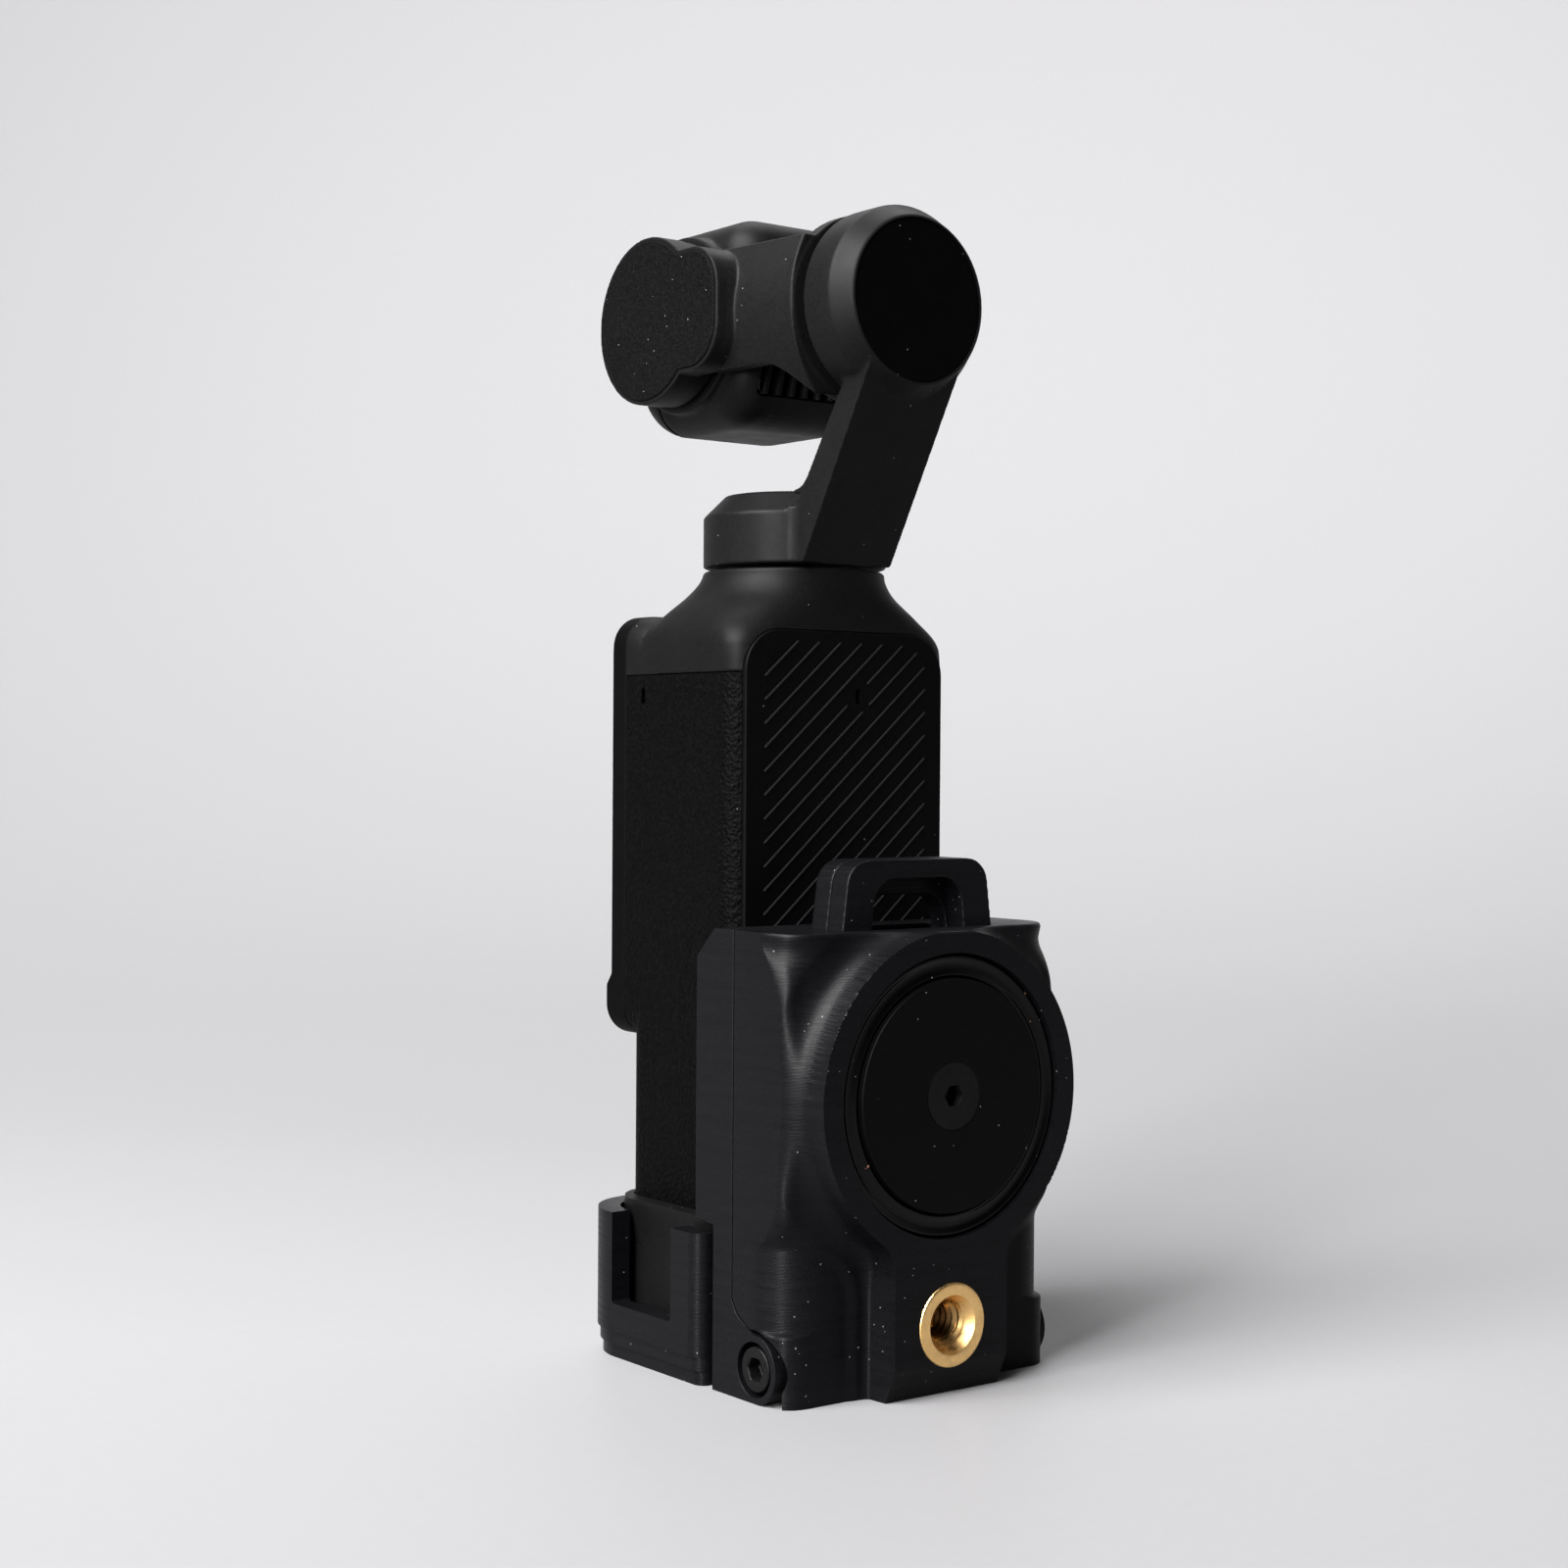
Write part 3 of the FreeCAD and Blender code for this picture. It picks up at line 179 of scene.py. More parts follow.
class Net:
    """Short names for building a node tree."""

    def __init__(self, material):
        self.tree = material.node_tree
        self.shader = self.tree.nodes["Principled BSDF"]
        self.coord = self.tree.nodes.new("ShaderNodeTexCoord").outputs["Object"]

    def node(self, kind, **values):
        n = self.tree.nodes.new(kind)
        for k, v in values.items():
            setattr(n, k, v)
        return n

    def link(self, a, b):
        self.tree.links.new(a, b)

    def scaled(self, x, y, z):
        """The object's coordinates, stretched along each axis."""
        n = self.node("ShaderNodeMapping")
        n.inputs["Scale"].default_value = (x, y, z)
        self.link(self.coord, n.inputs["Vector"])
        return n.outputs["Vector"]

    def noise(self, vector, scale, detail=3.0, rough=0.5):
        n = self.node("ShaderNodeTexNoise")
        n.inputs["Scale"].default_value = scale
        n.inputs["Detail"].default_value = detail
        n.inputs["Roughness"].default_value = rough
        self.link(vector, n.inputs["Vector"])
        return n.outputs["Fac"]

    def cells(self, vector, scale, feature="F1"):
        n = self.node("ShaderNodeTexVoronoi", feature=feature)
        n.inputs["Scale"].default_value = scale
        self.link(vector, n.inputs["Vector"])
        return n

    def math(self, op, a, b=None):
        n = self.node("ShaderNodeMath", operation=op)
        for i, v in enumerate((a, b)):
            if v is None:
                continue
            if isinstance(v, (int, float)):
                n.inputs[i].default_value = v
            else:
                self.link(v, n.inputs[i])
        return n.outputs[0]

    def ramp(self, fac, lo, hi, a, b):
        """Maps lo..hi to a..b."""
        n = self.node("ShaderNodeMapRange")
        n.inputs["From Min"].default_value = lo
        n.inputs["From Max"].default_value = hi
        n.inputs["To Min"].default_value = a
        n.inputs["To Max"].default_value = b
        self.link(fac, n.inputs["Value"])
        return n.outputs["Result"]

    def mix(self, fac, a, b):
        """Blends two colours, each a tuple or a socket."""
        n = self.node("ShaderNodeMix", data_type="RGBA")
        for i, v in ((0, fac), (6, a), (7, b)):
            if isinstance(v, tuple):
                n.inputs[i].default_value = (*v, 1)
            elif isinstance(v, (int, float)):
                n.inputs[i].default_value = v
            else:
                self.link(v, n.inputs[i])
        return n.outputs[2]

    def bump(self, height, strength, distance):
        n = self.node("ShaderNodeBump")
        n.inputs["Strength"].default_value = strength
        n.inputs["Distance"].default_value = distance
        self.link(height, n.inputs["Height"])
        return n.outputs["Normal"]

    def set(self, name, socket):
        self.link(socket, self.shader.inputs[name])


def specks(net, base, share, scale, shade):
    """A thin scatter of dust: small pale dots in a share of the cells of a Voronoi pattern."""
    # the coordinates are shaken by up to 0.3 mm, so that the dots aren't round
    warp = net.node("ShaderNodeVectorMath", operation="MULTIPLY_ADD")
    wobble = net.node("ShaderNodeTexNoise")
    wobble.inputs["Scale"].default_value = 2200
    net.link(net.coord, wobble.inputs["Vector"])
    net.link(wobble.outputs["Color"], warp.inputs[0])
    warp.inputs[1].default_value = (0.3 * MM, 0.3 * MM, 0.3 * MM)
    net.link(net.coord, warp.inputs[2])
    v = net.cells(warp.outputs["Vector"], scale)
    dot = net.math("LESS_THAN", v.outputs["Distance"], 0.06)
    sep = net.node("ShaderNodeSeparateColor")
    net.link(v.outputs["Color"], sep.inputs["Color"])
    few = net.math("LESS_THAN", sep.outputs["Red"], share)
    fac = net.math("MULTIPLY", dot, few)
    return net.mix(fac, base, shade)


def printed(name, colour):
    """Printed plastic: fine uneven layers stacked along Z."""
    rough, spec, layer = 0.37, 0.078, 0.2 * MM
    m = principled(name, colour, rough, spec)
    net = Net(m)
    sep = net.node("ShaderNodeSeparateXYZ")
    net.link(net.coord, sep.inputs[0])
    wave = net.math("SINE", net.math("MULTIPLY", sep.outputs["Z"], 2 * math.pi / layer))
    uneven = net.noise(net.scaled(60, 60, 5200), 1.0, 2.0)
    height = net.math("ADD", net.math("MULTIPLY", wave, 0.25), uneven)
    grain = net.noise(net.coord, 2600, 2.0)
    height = net.math("ADD", height, net.math("MULTIPLY", grain, 0.35))
    net.set("Normal", net.bump(height, 0.4, 0.06 * MM))
    tone = net.noise(net.scaled(40, 40, 900), 1.0, 3.0)
    body = net.mix(net.ramp(tone, 0.3, 0.7, 0, 1), times(colour, 0.75), times(colour, 1.35))
    body = net.mix(net.ramp(grain, 0.35, 0.65, 0, 0.55), body, times(colour, 1.9))
    net.set("Base Color", specks(net, body, 0.45, 560, (0.11, 0.108, 0.115)))
    streaks = net.noise(net.scaled(90, 90, 2500), 1.0)
    net.set("Roughness", net.ramp(streaks, 0.3, 0.7, rough - 0.06, rough + 0.08))
    return m


def leather(name, colour, rough, spec, scale, strength, dust):
    """Grained skin: small soft cells, with painted shade that darkens the low creases between them."""
    m = principled(name, colour, rough, spec)
    net = Net(m)
    warp = net.noise(net.coord, scale * 0.7, 3.0)
    cell = net.cells(net.coord, scale, "SMOOTH_F1")
    height = net.math("ADD", cell.outputs["Distance"], net.math("MULTIPLY", warp, 0.8))
    fine = net.noise(net.coord, scale * 4, 2.0)
    height = net.math("ADD", height, net.math("MULTIPLY", fine, 0.25))
    net.set("Normal", net.bump(height, strength, 0.22 * MM))
    tone = net.noise(net.coord, 260, 4.0)
    body = net.mix(net.ramp(tone, 0.35, 0.65, 0, 1), times(colour, 0.8), times(colour, 1.25))
    # painted shade: the low parts of the bump's height are darkened
    crease_shade = net.ramp(height, 0.75, 1.25, 0, 1)
    body = net.mix(crease_shade, times(colour, 0.35), net.mix(fine, body, times(colour, 2.6)))
    net.set("Base Color", specks(net, body, dust, 600, (0.11, 0.11, 0.115)))
    net.set("Roughness", net.ramp(warp, 0.3, 0.7, rough - 0.05, rough + 0.07))
    return m


def blasted(name, colour, rough, spec, grain=3200, strength=0.16, coat=0.0, ridge_highlight=None, dust=0.25,
            chips=None):
    """Fine moulded texture. The ridge highlight, (low Y, high Y, colour) in metres, is painted: a lighter
    colour on what stands proud, and chips is (threshold, colour) for spots where the coating is worn."""
    m = principled(name, colour, rough, spec, coat=coat, coat_rough=0.12)
    net = Net(m)
    height = net.noise(net.coord, grain, 2.0)
    height = net.math("ADD", height, net.math("MULTIPLY", net.noise(net.coord, 500, 3.0), 0.3))
    net.set("Normal", net.bump(height, strength, 0.05 * MM))
    tone = net.noise(net.coord, 180, 4.0)
    body = net.mix(net.ramp(tone, 0.35, 0.65, 0, 1), times(colour, 0.88), times(colour, 1.14))
    mottle = net.noise(net.coord, grain * 0.6, 2.0)
    body = net.mix(net.ramp(mottle, 0.38, 0.62, 0, 0.6), body, times(colour, 1.7))
    # painted highlight: what stands proud beyond the given Y gets a lighter colour
    if ridge_highlight:
        sep = net.node("ShaderNodeSeparateXYZ")
        net.link(net.coord, sep.inputs[0])
        body = net.mix(net.ramp(sep.outputs["Y"], ridge_highlight[0], ridge_highlight[1], 0, 1), body, ridge_highlight[2])
    if chips:
        worn = net.noise(net.coord, 420, 3.0, 0.55)
        body = net.mix(net.math("GREATER_THAN", worn, chips[0]), body, chips[1])
    net.set("Base Color", specks(net, body, dust, 560, (0.11, 0.11, 0.115)))
    net.set("Roughness", net.ramp(net.noise(net.coord, 240, 3.0), 0.3, 0.7, rough - 0.04, rough + 0.05))
    return m


def metal(name, colour, rough, grain=1800, strength=0.1, deep=None):
    """Metal with a fine grain. Deep is (low Y, high Y, colour), in metres: painted shade in a bore, the
    colour darkening towards low Y.
    """
    m = principled(name, colour, rough, 0.5, metal=1.0)
    net = Net(m)
    height = net.noise(net.coord, grain, 3.0)
    net.set("Normal", net.bump(height, strength, 0.04 * MM))
    tone = net.noise(net.coord, 700, 4.0)
    body = net.mix(net.ramp(tone, 0.35, 0.7, 0, 1), times(colour, 0.85), colour)
    # painted shade: towards low Y, deep in the bore, the colour turns to the dark one
    if deep:
        sep = net.node("ShaderNodeSeparateXYZ")
        net.link(net.coord, sep.inputs[0])
        body = net.mix(net.ramp(sep.outputs["Y"], deep[0], deep[1], 0, 1), deep[2], body)
    net.set("Base Color", body)
    net.set("Roughness", net.ramp(net.noise(net.coord, 900, 3.0), 0.3, 0.7, rough - 0.06, rough + 0.08))
    return m


# The blacks were tuned until sampled spots of the render had the photo's tone under these lights.
# Their base colours are 10 to 50 times darker than the record's base_color and their specular levels
# are far below 0.5, so they don't measure the real surfaces and may look too dark in other scenes.
M = {
    "printed_black": printed("printed_black", (0.0016, 0.0015, 0.0019)),
    "soft_touch_black": blasted("soft_touch_black", (0.0021, 0.0021, 0.0022), 0.47, 0.062, 3600, 0.12),
    "screw_black": blasted("screw_black", (0.0018, 0.0018, 0.0019), 0.36, 0.095, 1800, 0.2),
    # the insert's bore gets painted shade, darker deep inside
    "insert_brass": metal("insert_brass", (0.8580, 0.5500, 0.2200), 0.3, 900, 0.06,
                          deep=(34.5 * MM, 39.0 * MM, (0.10, 0.045, 0.015))),
    "magnet_coating": blasted("magnet_coating", (0.0004, 0.0004, 0.0005), 0.15, 0.060, 900,
                              0.08, coat=0.16, chips=(0.7, (0.20, 0.10, 0.06))),
    "disc_black": blasted("disc_black", (0.0008, 0.0008, 0.0009), 0.48, 0.050, 2600, 0.14),
    "grip_leather": leather("grip_leather", (0.0005, 0.0005, 0.00055), 0.52, 0.027, 1900, 1.0, 0.12),
    "cap_leather": leather("cap_leather", (0.0014, 0.0014, 0.0015), 0.56, 0.042, 2900, 0.45, 0.8),
    # the ribs' tops are painted lighter as a highlight
    "panel_black": blasted("panel_black", (0.0008, 0.0008, 0.0009), 0.52, 0.040, 3000, 0.12,
                           ridge_highlight=(13.5 * MM, 13.6 * MM, (0.010, 0.010, 0.0102)), dust=0.06),
    "body_dark": blasted("body_dark", (0.0026, 0.0026, 0.0027), 0.46, 0.068, 3400, 0.14),
    "cap_gloss": blasted("cap_gloss", (0.0006, 0.0006, 0.0007), 0.33, 0.042, 2400, 0.04),
    "battery_wrap": blasted("battery_wrap", (0.05, 0.09, 0.14), 0.4, 0.160),
    "board_green": blasted("board_green", (0.01, 0.07, 0.03), 0.4, 0.160),
    "steel_bright": metal("steel_bright", (0.30, 0.30, 0.31), 0.34, 2600, 0.03),
    "motor_steel": metal("motor_steel", (0.33, 0.33, 0.35), 0.38),
    "screen_bezel": blasted("screen_bezel", (0.0005, 0.0005, 0.0006), 0.55, 0.030),
    "display_glass": principled("display_glass", (0.004, 0.004, 0.005), 0.06, 0.5, coat=0.8, coat_rough=0.03),
    "stick_rubber": blasted("stick_rubber", (0.0100, 0.0100, 0.0110), 0.6, 0.120),
    "button_red": blasted("button_red", (0.35, 0.01, 0.012), 0.35, 0.160, 2400, 0.08),
    "lens_glass": principled("lens_glass", (0.01, 0.008, 0.02), 0.04, 0.6, coat=1.0, coat_rough=0.02),
    "fin_metal": blasted("fin_metal", (0.0030, 0.0030, 0.0031), 0.5, 0.090),
}

# ---------------------------------------------------------------- pieces
def slot_of(node):
    """The material slot that the record gives a node."""
    entry = SLOT_OF[node]
    return entry.get("material_slot") or entry.get("material") or entry.get("slot")


# pieces with a shape of their own below; every other node keeps its CAD shape with rounded edges
SOFT = {"latch_loop_inner", "latch_loop_outer"}
OWN = {"rear_leaf", "ring_magnet", "threaded_insert", "roll_bracket", "tilt_housing", "tilt_cap", "pan_arm",
       "head_rear_shell", "head_front_shell", "heat_sink", "shoulder_cover", "rear_grip_panel"}
EDGE = 0.15                     # usual rounding, in millimetres, and the edges that are rounder
ROUNDER = {"cradle_shell": 0.35, "toe_cup": 0.35, "handle_shell": 0.3, "screen_frame": 0.5, "lens_ring": 0.3,
           "base_adapter": 0.35, "disc_screw": 0.2, "hinge_screw": 0.3, "disc_plate": 0.25}
for node in sorted(set(frame["nodes"]) - OWN - SOFT):
    refined(node, M[slot_of(node)], slot_of(node), ROUNDER.get(node, EDGE))


# ---------------------------------------------------------------- rear leaf
(_, FRONT, _), (HALF_W, FACE, TOP) = box_mm("rear_leaf")
_, HINGE_Y, HINGE_Z = joint_mm("leaf_hinge")
DISC_Z = middle_mm("ring_magnet", 2)
SOCKET_Z = middle_mm("threaded_insert", 2)
REAR = 32.7                     # back of the leaf's plain wall, from which the pad rises
KNUCKLE_R = 5.1
PAD_R = 24.2                    # the raised pad: a disc, and a foot of this half width
PAD_FOOT = 10.8
FOOT_BEVEL = (5.0, 2.1)         # height and depth of the bevel at the foot of the pad
TOP_LIP = 0.6                   # rounding along the top edge


def step(t):
    """Smooth step from 0 to 1."""
    t = np.clip(t, 0, 1)
    return t * t * (3 - 2 * t)


def soft_min(a, b, k):
    """The lesser of two heights, with a fillet of about k between them."""
    h = np.clip(0.5 + 0.5 * (b - a) / k, 0, 1)
    return b + (a - b) * h - k * h * (1 - h)


def pad_distance(x, z):
    """Distance outside the outline of the raised pad: a disc with a foot below it."""
    disc = np.hypot(x, z - DISC_Z) - PAD_R
    foot = np.maximum(np.abs(x) - PAD_FOOT, z - DISC_Z)
    return soft_min(disc, foot, 3.2)


def foot_bevel(z):
    """Depth of the bevel at the foot of the pad, at height z."""
    high, deep = FOOT_BEVEL
    return np.clip((high - z) / high, 0, 1) * deep


def leaf_rear(x, z):
    """Height of the leaf's rear skin: rounded side corners, with the pad's flared sides blended in."""
    corner = 4.6 + 2.6 * step((z - 10.2) / 0.7)
    t = np.clip(np.abs(x) - (HALF_W - corner), 0, corner)
    base = REAR - (corner - np.sqrt(corner ** 2 - t ** 2))
    base = base + 0.9 * step((z - 64.0) / 4.0) * step((np.abs(x) - 14) / 10)
    d = pad_distance(x, z)
    flare = 1.9 + 3.1 * step((z - 14) / 13)
    inside = np.clip(flare - d, 0, flare)
    rise = flare - np.sqrt(np.maximum(flare ** 2 - inside ** 2, 0))
    flank = REAR + rise - 0.34 * np.clip(d - flare, 0, 30) ** 1.7
    body = -soft_min(-base, -flank, 1.6)
    wall = np.clip((0.28 - d) / 0.28, 0, 1)
    y = np.where(d <= 0.01, FACE, body + (FACE - body) * 0.55 * wall ** 2)
    lip = 1.6
    e = np.clip(np.abs(x) - (HALF_W - lip), 0, lip)
    y = y - (lip - np.sqrt(lip ** 2 - e ** 2)) * step((y - 27.0) / 4.0)
    bevel = foot_bevel(z)
    return np.where(d <= 0.01, FACE - bevel, np.minimum(y, FACE - bevel * step((y - REAR) / 5)))


def leaf_solid():
    """The leaf as a closed grid: its rear skin, a flat front and the walls between them."""
    edge = [HALF_W - 2 + 2 * math.sin(math.pi / 2 * i / 9) for i in range(1, 10)]
    middle = list(np.linspace(-(HALF_W - 2), HALF_W - 2, 195))
    xs = np.array([-e for e in reversed(edge)] + middle + edge)
    lip = TOP_LIP * np.sin(np.linspace(0.25, math.pi / 2, 5))
    zs = np.concatenate([np.linspace(0, TOP - TOP_LIP, 262), TOP - TOP_LIP + lip])
    X, Z = np.meshgrid(xs, zs)
    # grid points nearest to the pad's outline are moved onto it
    d = pad_distance(X, Z)
    near = np.zeros_like(d, bool)
    for axis in (0, 1):
        a, b = (d[:-1], d[1:]) if axis == 0 else (d[:, :-1], d[:, 1:])
        cross = (a < 0) != (b < 0)
        first = cross & (np.abs(a) <= np.abs(b))
        second = cross & ~first
        if axis == 0:
            near[:-1] |= first
            near[1:] |= second
        else:
            near[:, :-1] |= first
            near[:, 1:] |= second
    near[0] = near[-1] = False
    near[:, 0] = near[:, -1] = False
    h = 1e-3
    for _ in range(3):
        d = pad_distance(X, Z)
        gx = (pad_distance(X + h, Z) - d) / h
        gz = (pad_distance(X, Z + h) - d) / h
        X = np.where(near, X - d * gx, X)
        Z = np.where(near, Z - d * gz, Z)
    Y = leaf_rear(X, Z)
    Y = np.where(near, FACE - foot_bevel(Z), Y)
    round_top = np.clip(Z - (TOP - TOP_LIP), 0, TOP_LIP)
    Y = Y - (TOP_LIP - np.sqrt(np.maximum(TOP_LIP ** 2 - round_top ** 2, 0)))
    rows, cols = X.shape
    verts = [(X[j, i], Y[j, i], Z[j, i]) for j in range(rows) for i in range(cols)]
    back = len(verts)
    verts += [(X[j, i], FRONT, Z[j, i]) for j in range(rows) for i in (0, cols - 1)]
    faces = [(j * cols + i, (j + 1) * cols + i, (j + 1) * cols + i + 1, j * cols + i + 1)
             for j in range(rows - 1) for i in range(cols - 1)]
    for j in range(rows - 1):
        a, b = back + 2 * j, back + 2 * j + 2
        faces.append((a, b, (j + 1) * cols, j * cols))
        faces.append((a + 1, j * cols + cols - 1, (j + 1) * cols + cols - 1, b + 1))
        faces.append((a, a + 1, b + 1, b))
    faces.append((back,) + tuple(range(cols)) + (back + 1,))
    last = (rows - 1) * cols
    left, right = back + 2 * rows - 2, back + 2 * rows - 1
    faces.append((right,) + tuple(last + i for i in reversed(range(cols))) + (left,))
    return verts, faces


def loft(rings):
    """A closed solid through rings of equal point counts."""
    n = len(rings[0])
    verts = [p for ring in rings for p in ring]
    faces = [tuple(range(n)), tuple(range(len(verts) - 1, len(verts) - n - 1, -1))]
    for j in range(len(rings) - 1):
        for k in range(n):
            m = (k + 1) % n
            faces.append((j * n + k, (j + 1) * n + k, (j + 1) * n + m, j * n + m))
    return verts, faces


def disc_cutter(r, y0, y1, x, z, steps=128):
    """A closed round prism along Y, as vertices and faces."""
    return prism_y(circle(x, z, r, steps), y0, y1)


def prism_y(outline, y0, y1):
    """A closed prism along Y from an outline of (x, z) points."""
    return loft([[(x, y, z) for x, z in outline] for y in (y0, y1)])


def prism_x(outline, x0, x1):
    """A closed prism along X from an outline of (y, z) points."""
    return loft([[(x, y, z) for y, z in outline] for x in (x0, x1)])


def rounded(points, radius, steps=8):
    """An outline with its corners rounded; radius is one number or one for each corner."""
    out = []
    n = len(points)
    for i in range(n):
        r = radius if isinstance(radius, (int, float)) else radius[i]
        p, a, b = (np.array(points[k % n], float) for k in (i, i - 1, i + 1))
        if r <= 0:
            out.append(tuple(p))
            continue
        u, v = (a - p) / np.linalg.norm(a - p), (b - p) / np.linalg.norm(b - p)
        half = math.acos(float(np.clip(u @ v, -1, 1))) / 2
        centre = p + (u + v) / np.linalg.norm(u + v) * r / math.sin(half)
        s, e = p + u * r / math.tan(half) - centre, p + v * r / math.tan(half) - centre
        turn = math.acos(float(np.clip(s @ e / r ** 2, -1, 1)))
        for k in range(steps + 1):
            t = k / steps
            arc = s * math.sin((1 - t) * turn) + e * math.sin(t * turn)
            out.append(tuple(centre + arc / math.sin(turn)))
    return out


def apply_modifiers(ob):
    """Makes the shape that the modifiers show the piece's own mesh."""
    bpy.context.view_layer.update()
    dg = bpy.context.evaluated_depsgraph_get()
    mesh = bpy.data.meshes.new_from_object(ob.evaluated_get(dg))
    ob.modifiers.clear()
    old = ob.data
    ob.data = mesh
    bpy.data.meshes.remove(old)


def absorb(ob, other):
    """Puts a second piece's mesh into the first one's, with no cut between them."""
    bm = bmesh.new()
    bm.from_mesh(ob.data)
    bm.from_mesh(other.data)
    bm.to_mesh(ob.data)
    bm.free()
    bpy.data.objects.remove(other)


def carve(ob, *cutters, operation="DIFFERENCE"):
    """Cuts closed solids out of a closed piece, or adds them to it, one after another."""
    for verts, faces in cutters:
        tool = solid_object("cutter", verts, faces)
        mod = ob.modifiers.new("cut", "BOOLEAN")
        mod.operation = operation
        mod.solver = "MANIFOLD"
        mod.object = tool
        apply_modifiers(ob)
        bpy.data.objects.remove(tool)


def solid_object(name, verts, faces, angle=35):
    """A closed piece with its faces turned outwards."""
    ob = mesh_object(name, verts, faces, angle)
    bm = bmesh.new()
    bm.from_mesh(ob.data)
    bmesh.ops.recalc_face_normals(bm, faces=bm.faces)
    bm.to_mesh(ob.data)
    bm.free()
    return ob


def box_outline(a0, a1, b0, b1):
    return [(a0, b0), (a1, b0), (a1, b1), (a0, b1)]


def make_leaf():
    """The leaf with its seats for the ring and the insert, and its hinge barrel."""
    leaf = solid_object("look_rear_leaf", *leaf_solid())
    # the lower front corners follow the webs of the knuckles and close round their backs
    top = HINGE_Z + KNUCKLE_R + 0.3
    web = rounded([(FRONT - 3, -1), (HINGE_Y + 5.2, -1), (HINGE_Y + 5.2, 2.5), (HINGE_Y, 2.5),
                   (HINGE_Y, top), (HINGE_Y - 0.4, top), (FRONT + 1.3, top + 2.0), (FRONT, top + 4.0),
                   (FRONT - 3, top + 4.0)],
                  [0, 0, 0, 0, 0, 0, 3.0, 0, 0])
    for side in (1, -1):
        x0, x1 = sorted((side * 22.0, side * 30.0))
        carve(leaf, prism_x(web, x0, x1), prism_x(circle(HINGE_Y, HINGE_Z, KNUCKLE_R + 0.7, 96), x0, x1))
    front_low = [(FRONT - 1, -1), (HINGE_Y, -1), (HINGE_Y, HINGE_Z + 4.2), (FRONT - 1, HINGE_Z + 4.2)]
    carve(leaf, prism_x(front_low, -22.2, 22.2))
    # room for the finger loop, and the window in front of it for the loop's bolt
    carve(leaf, prism_y(box_outline(-14.8, 14.8, 44.0, 70.0), 23.1, 31.3))
    carve(leaf, prism_y(box_outline(-6.4, 6.4, 47.6, 65.5), FRONT - 1, 23.4))
    # the ring's pocket, and the insert's bore with the recess for its flange
    carve(leaf, disc_cutter(20.9, FACE - 3.4, FACE + 2, 0, DISC_Z, 192))
    carve(leaf, disc_cutter(4.7, FACE - 10.6, FACE + 2, 0, SOCKET_Z))
    carve(leaf, disc_cutter(6.25, FACE - 1.3, FACE + 2, 0, SOCKET_Z))
    smooth(leaf.data, 38)
    finish_piece(leaf, M["printed_black"], "printed_black", "leaf", "rear_leaf", weigh=False)
    make_barrel()


def make_barrel():
    """The barrel of the leaf between the two knuckles, flat where it meets the ground."""
    outline = []
    for a in np.linspace(0, 2 * math.pi, 65)[:-1]:
        outline.append((HINGE_Y + KNUCKLE_R * math.sin(a), max(HINGE_Z - KNUCKLE_R * math.cos(a), 0.0)))
    ob = solid_object("look_leaf_barrel", *prism_x(outline, -22.0, 22.0))
    bevelled(ob, 0.4, 2, 40)
    finish_piece(ob, M["printed_black"], "printed_black", "leaf")


# ---------------------------------------------------------------- melted shapes
def melted(name, solids, voxel, passes):
    """Closed solids joined into one skin with softened edges, like a moulding."""
    verts, faces = [], []
    for v, f in solids:
        faces += [tuple(i + len(verts) for i in face) for face in f]
        verts += v
    ob = solid_object(name, verts, faces)
    mod = ob.modifiers.new("skin", "REMESH")
    mod.mode = "VOXEL"
    mod.voxel_size = voxel * MM
    mod.use_smooth_shade = True
    soft = ob.modifiers.new("soft", "SMOOTH")
    soft.factor = 0.5
    soft.iterations = passes
    apply_modifiers(ob)
    smooth(ob.data, 180)
    return ob


# ---------------------------------------------------------------- gimbal
AXIS_Z = joint_mm("roll_axis")[2]
CAP = (-13.9, 161.9, 12.85)             # the tilt cap's large end: middle in y and z, and radius
LOBE = (-14.0, 4.9, 152.9, 171.45)      # its rear lobe: low and high y, low and high z
LOBE_CORNER = 6.6
CAP_MIDDLE = (-7.0, 162.0)              # a point well inside the cap, in y and z


def lobed(grow, steps=288):
    """Outline of the tilt cap in (y, z): a circle with a squarer lobe behind it."""
    ang = np.linspace(0, 2 * np.pi, steps, endpoint=False)
    lo, hi = np.zeros(steps), np.full(steps, 30.0)
    y0, y1, z0, z1 = LOBE
    half_y, half_z = (y1 - y0) / 2, (z1 - z0) / 2
    mid_y, mid_z = CAP_MIDDLE
    for _ in range(30):
        mid = (lo + hi) / 2
        y, z = mid_y + mid * np.cos(ang), mid_z + mid * np.sin(ang)
        disc = np.hypot(y - CAP[0], z - CAP[1]) - CAP[2]
        qy = np.abs(y - (y0 + y1) / 2) - half_y + LOBE_CORNER
        qz = np.abs(z - (z0 + z1) / 2) - half_z + LOBE_CORNER
        inner = np.minimum(np.maximum(qy, qz), 0)
        lobe = np.hypot(np.maximum(qy, 0), np.maximum(qz, 0)) + inner - LOBE_CORNER
        inside = np.minimum(disc, lobe) < grow
        lo, hi = np.where(inside, mid, lo), np.where(inside, hi, mid)
    return [(mid_y + r * math.cos(a), mid_z + r * math.sin(a)) for r, a in zip(lo, ang)]


def circle(a, b, r, steps=128):
    """An outline round the point (a, b)."""
    angles = [2 * math.pi * k / steps for k in range(steps)]
    return [(a + r * math.cos(t), b + r * math.sin(t)) for t in angles]


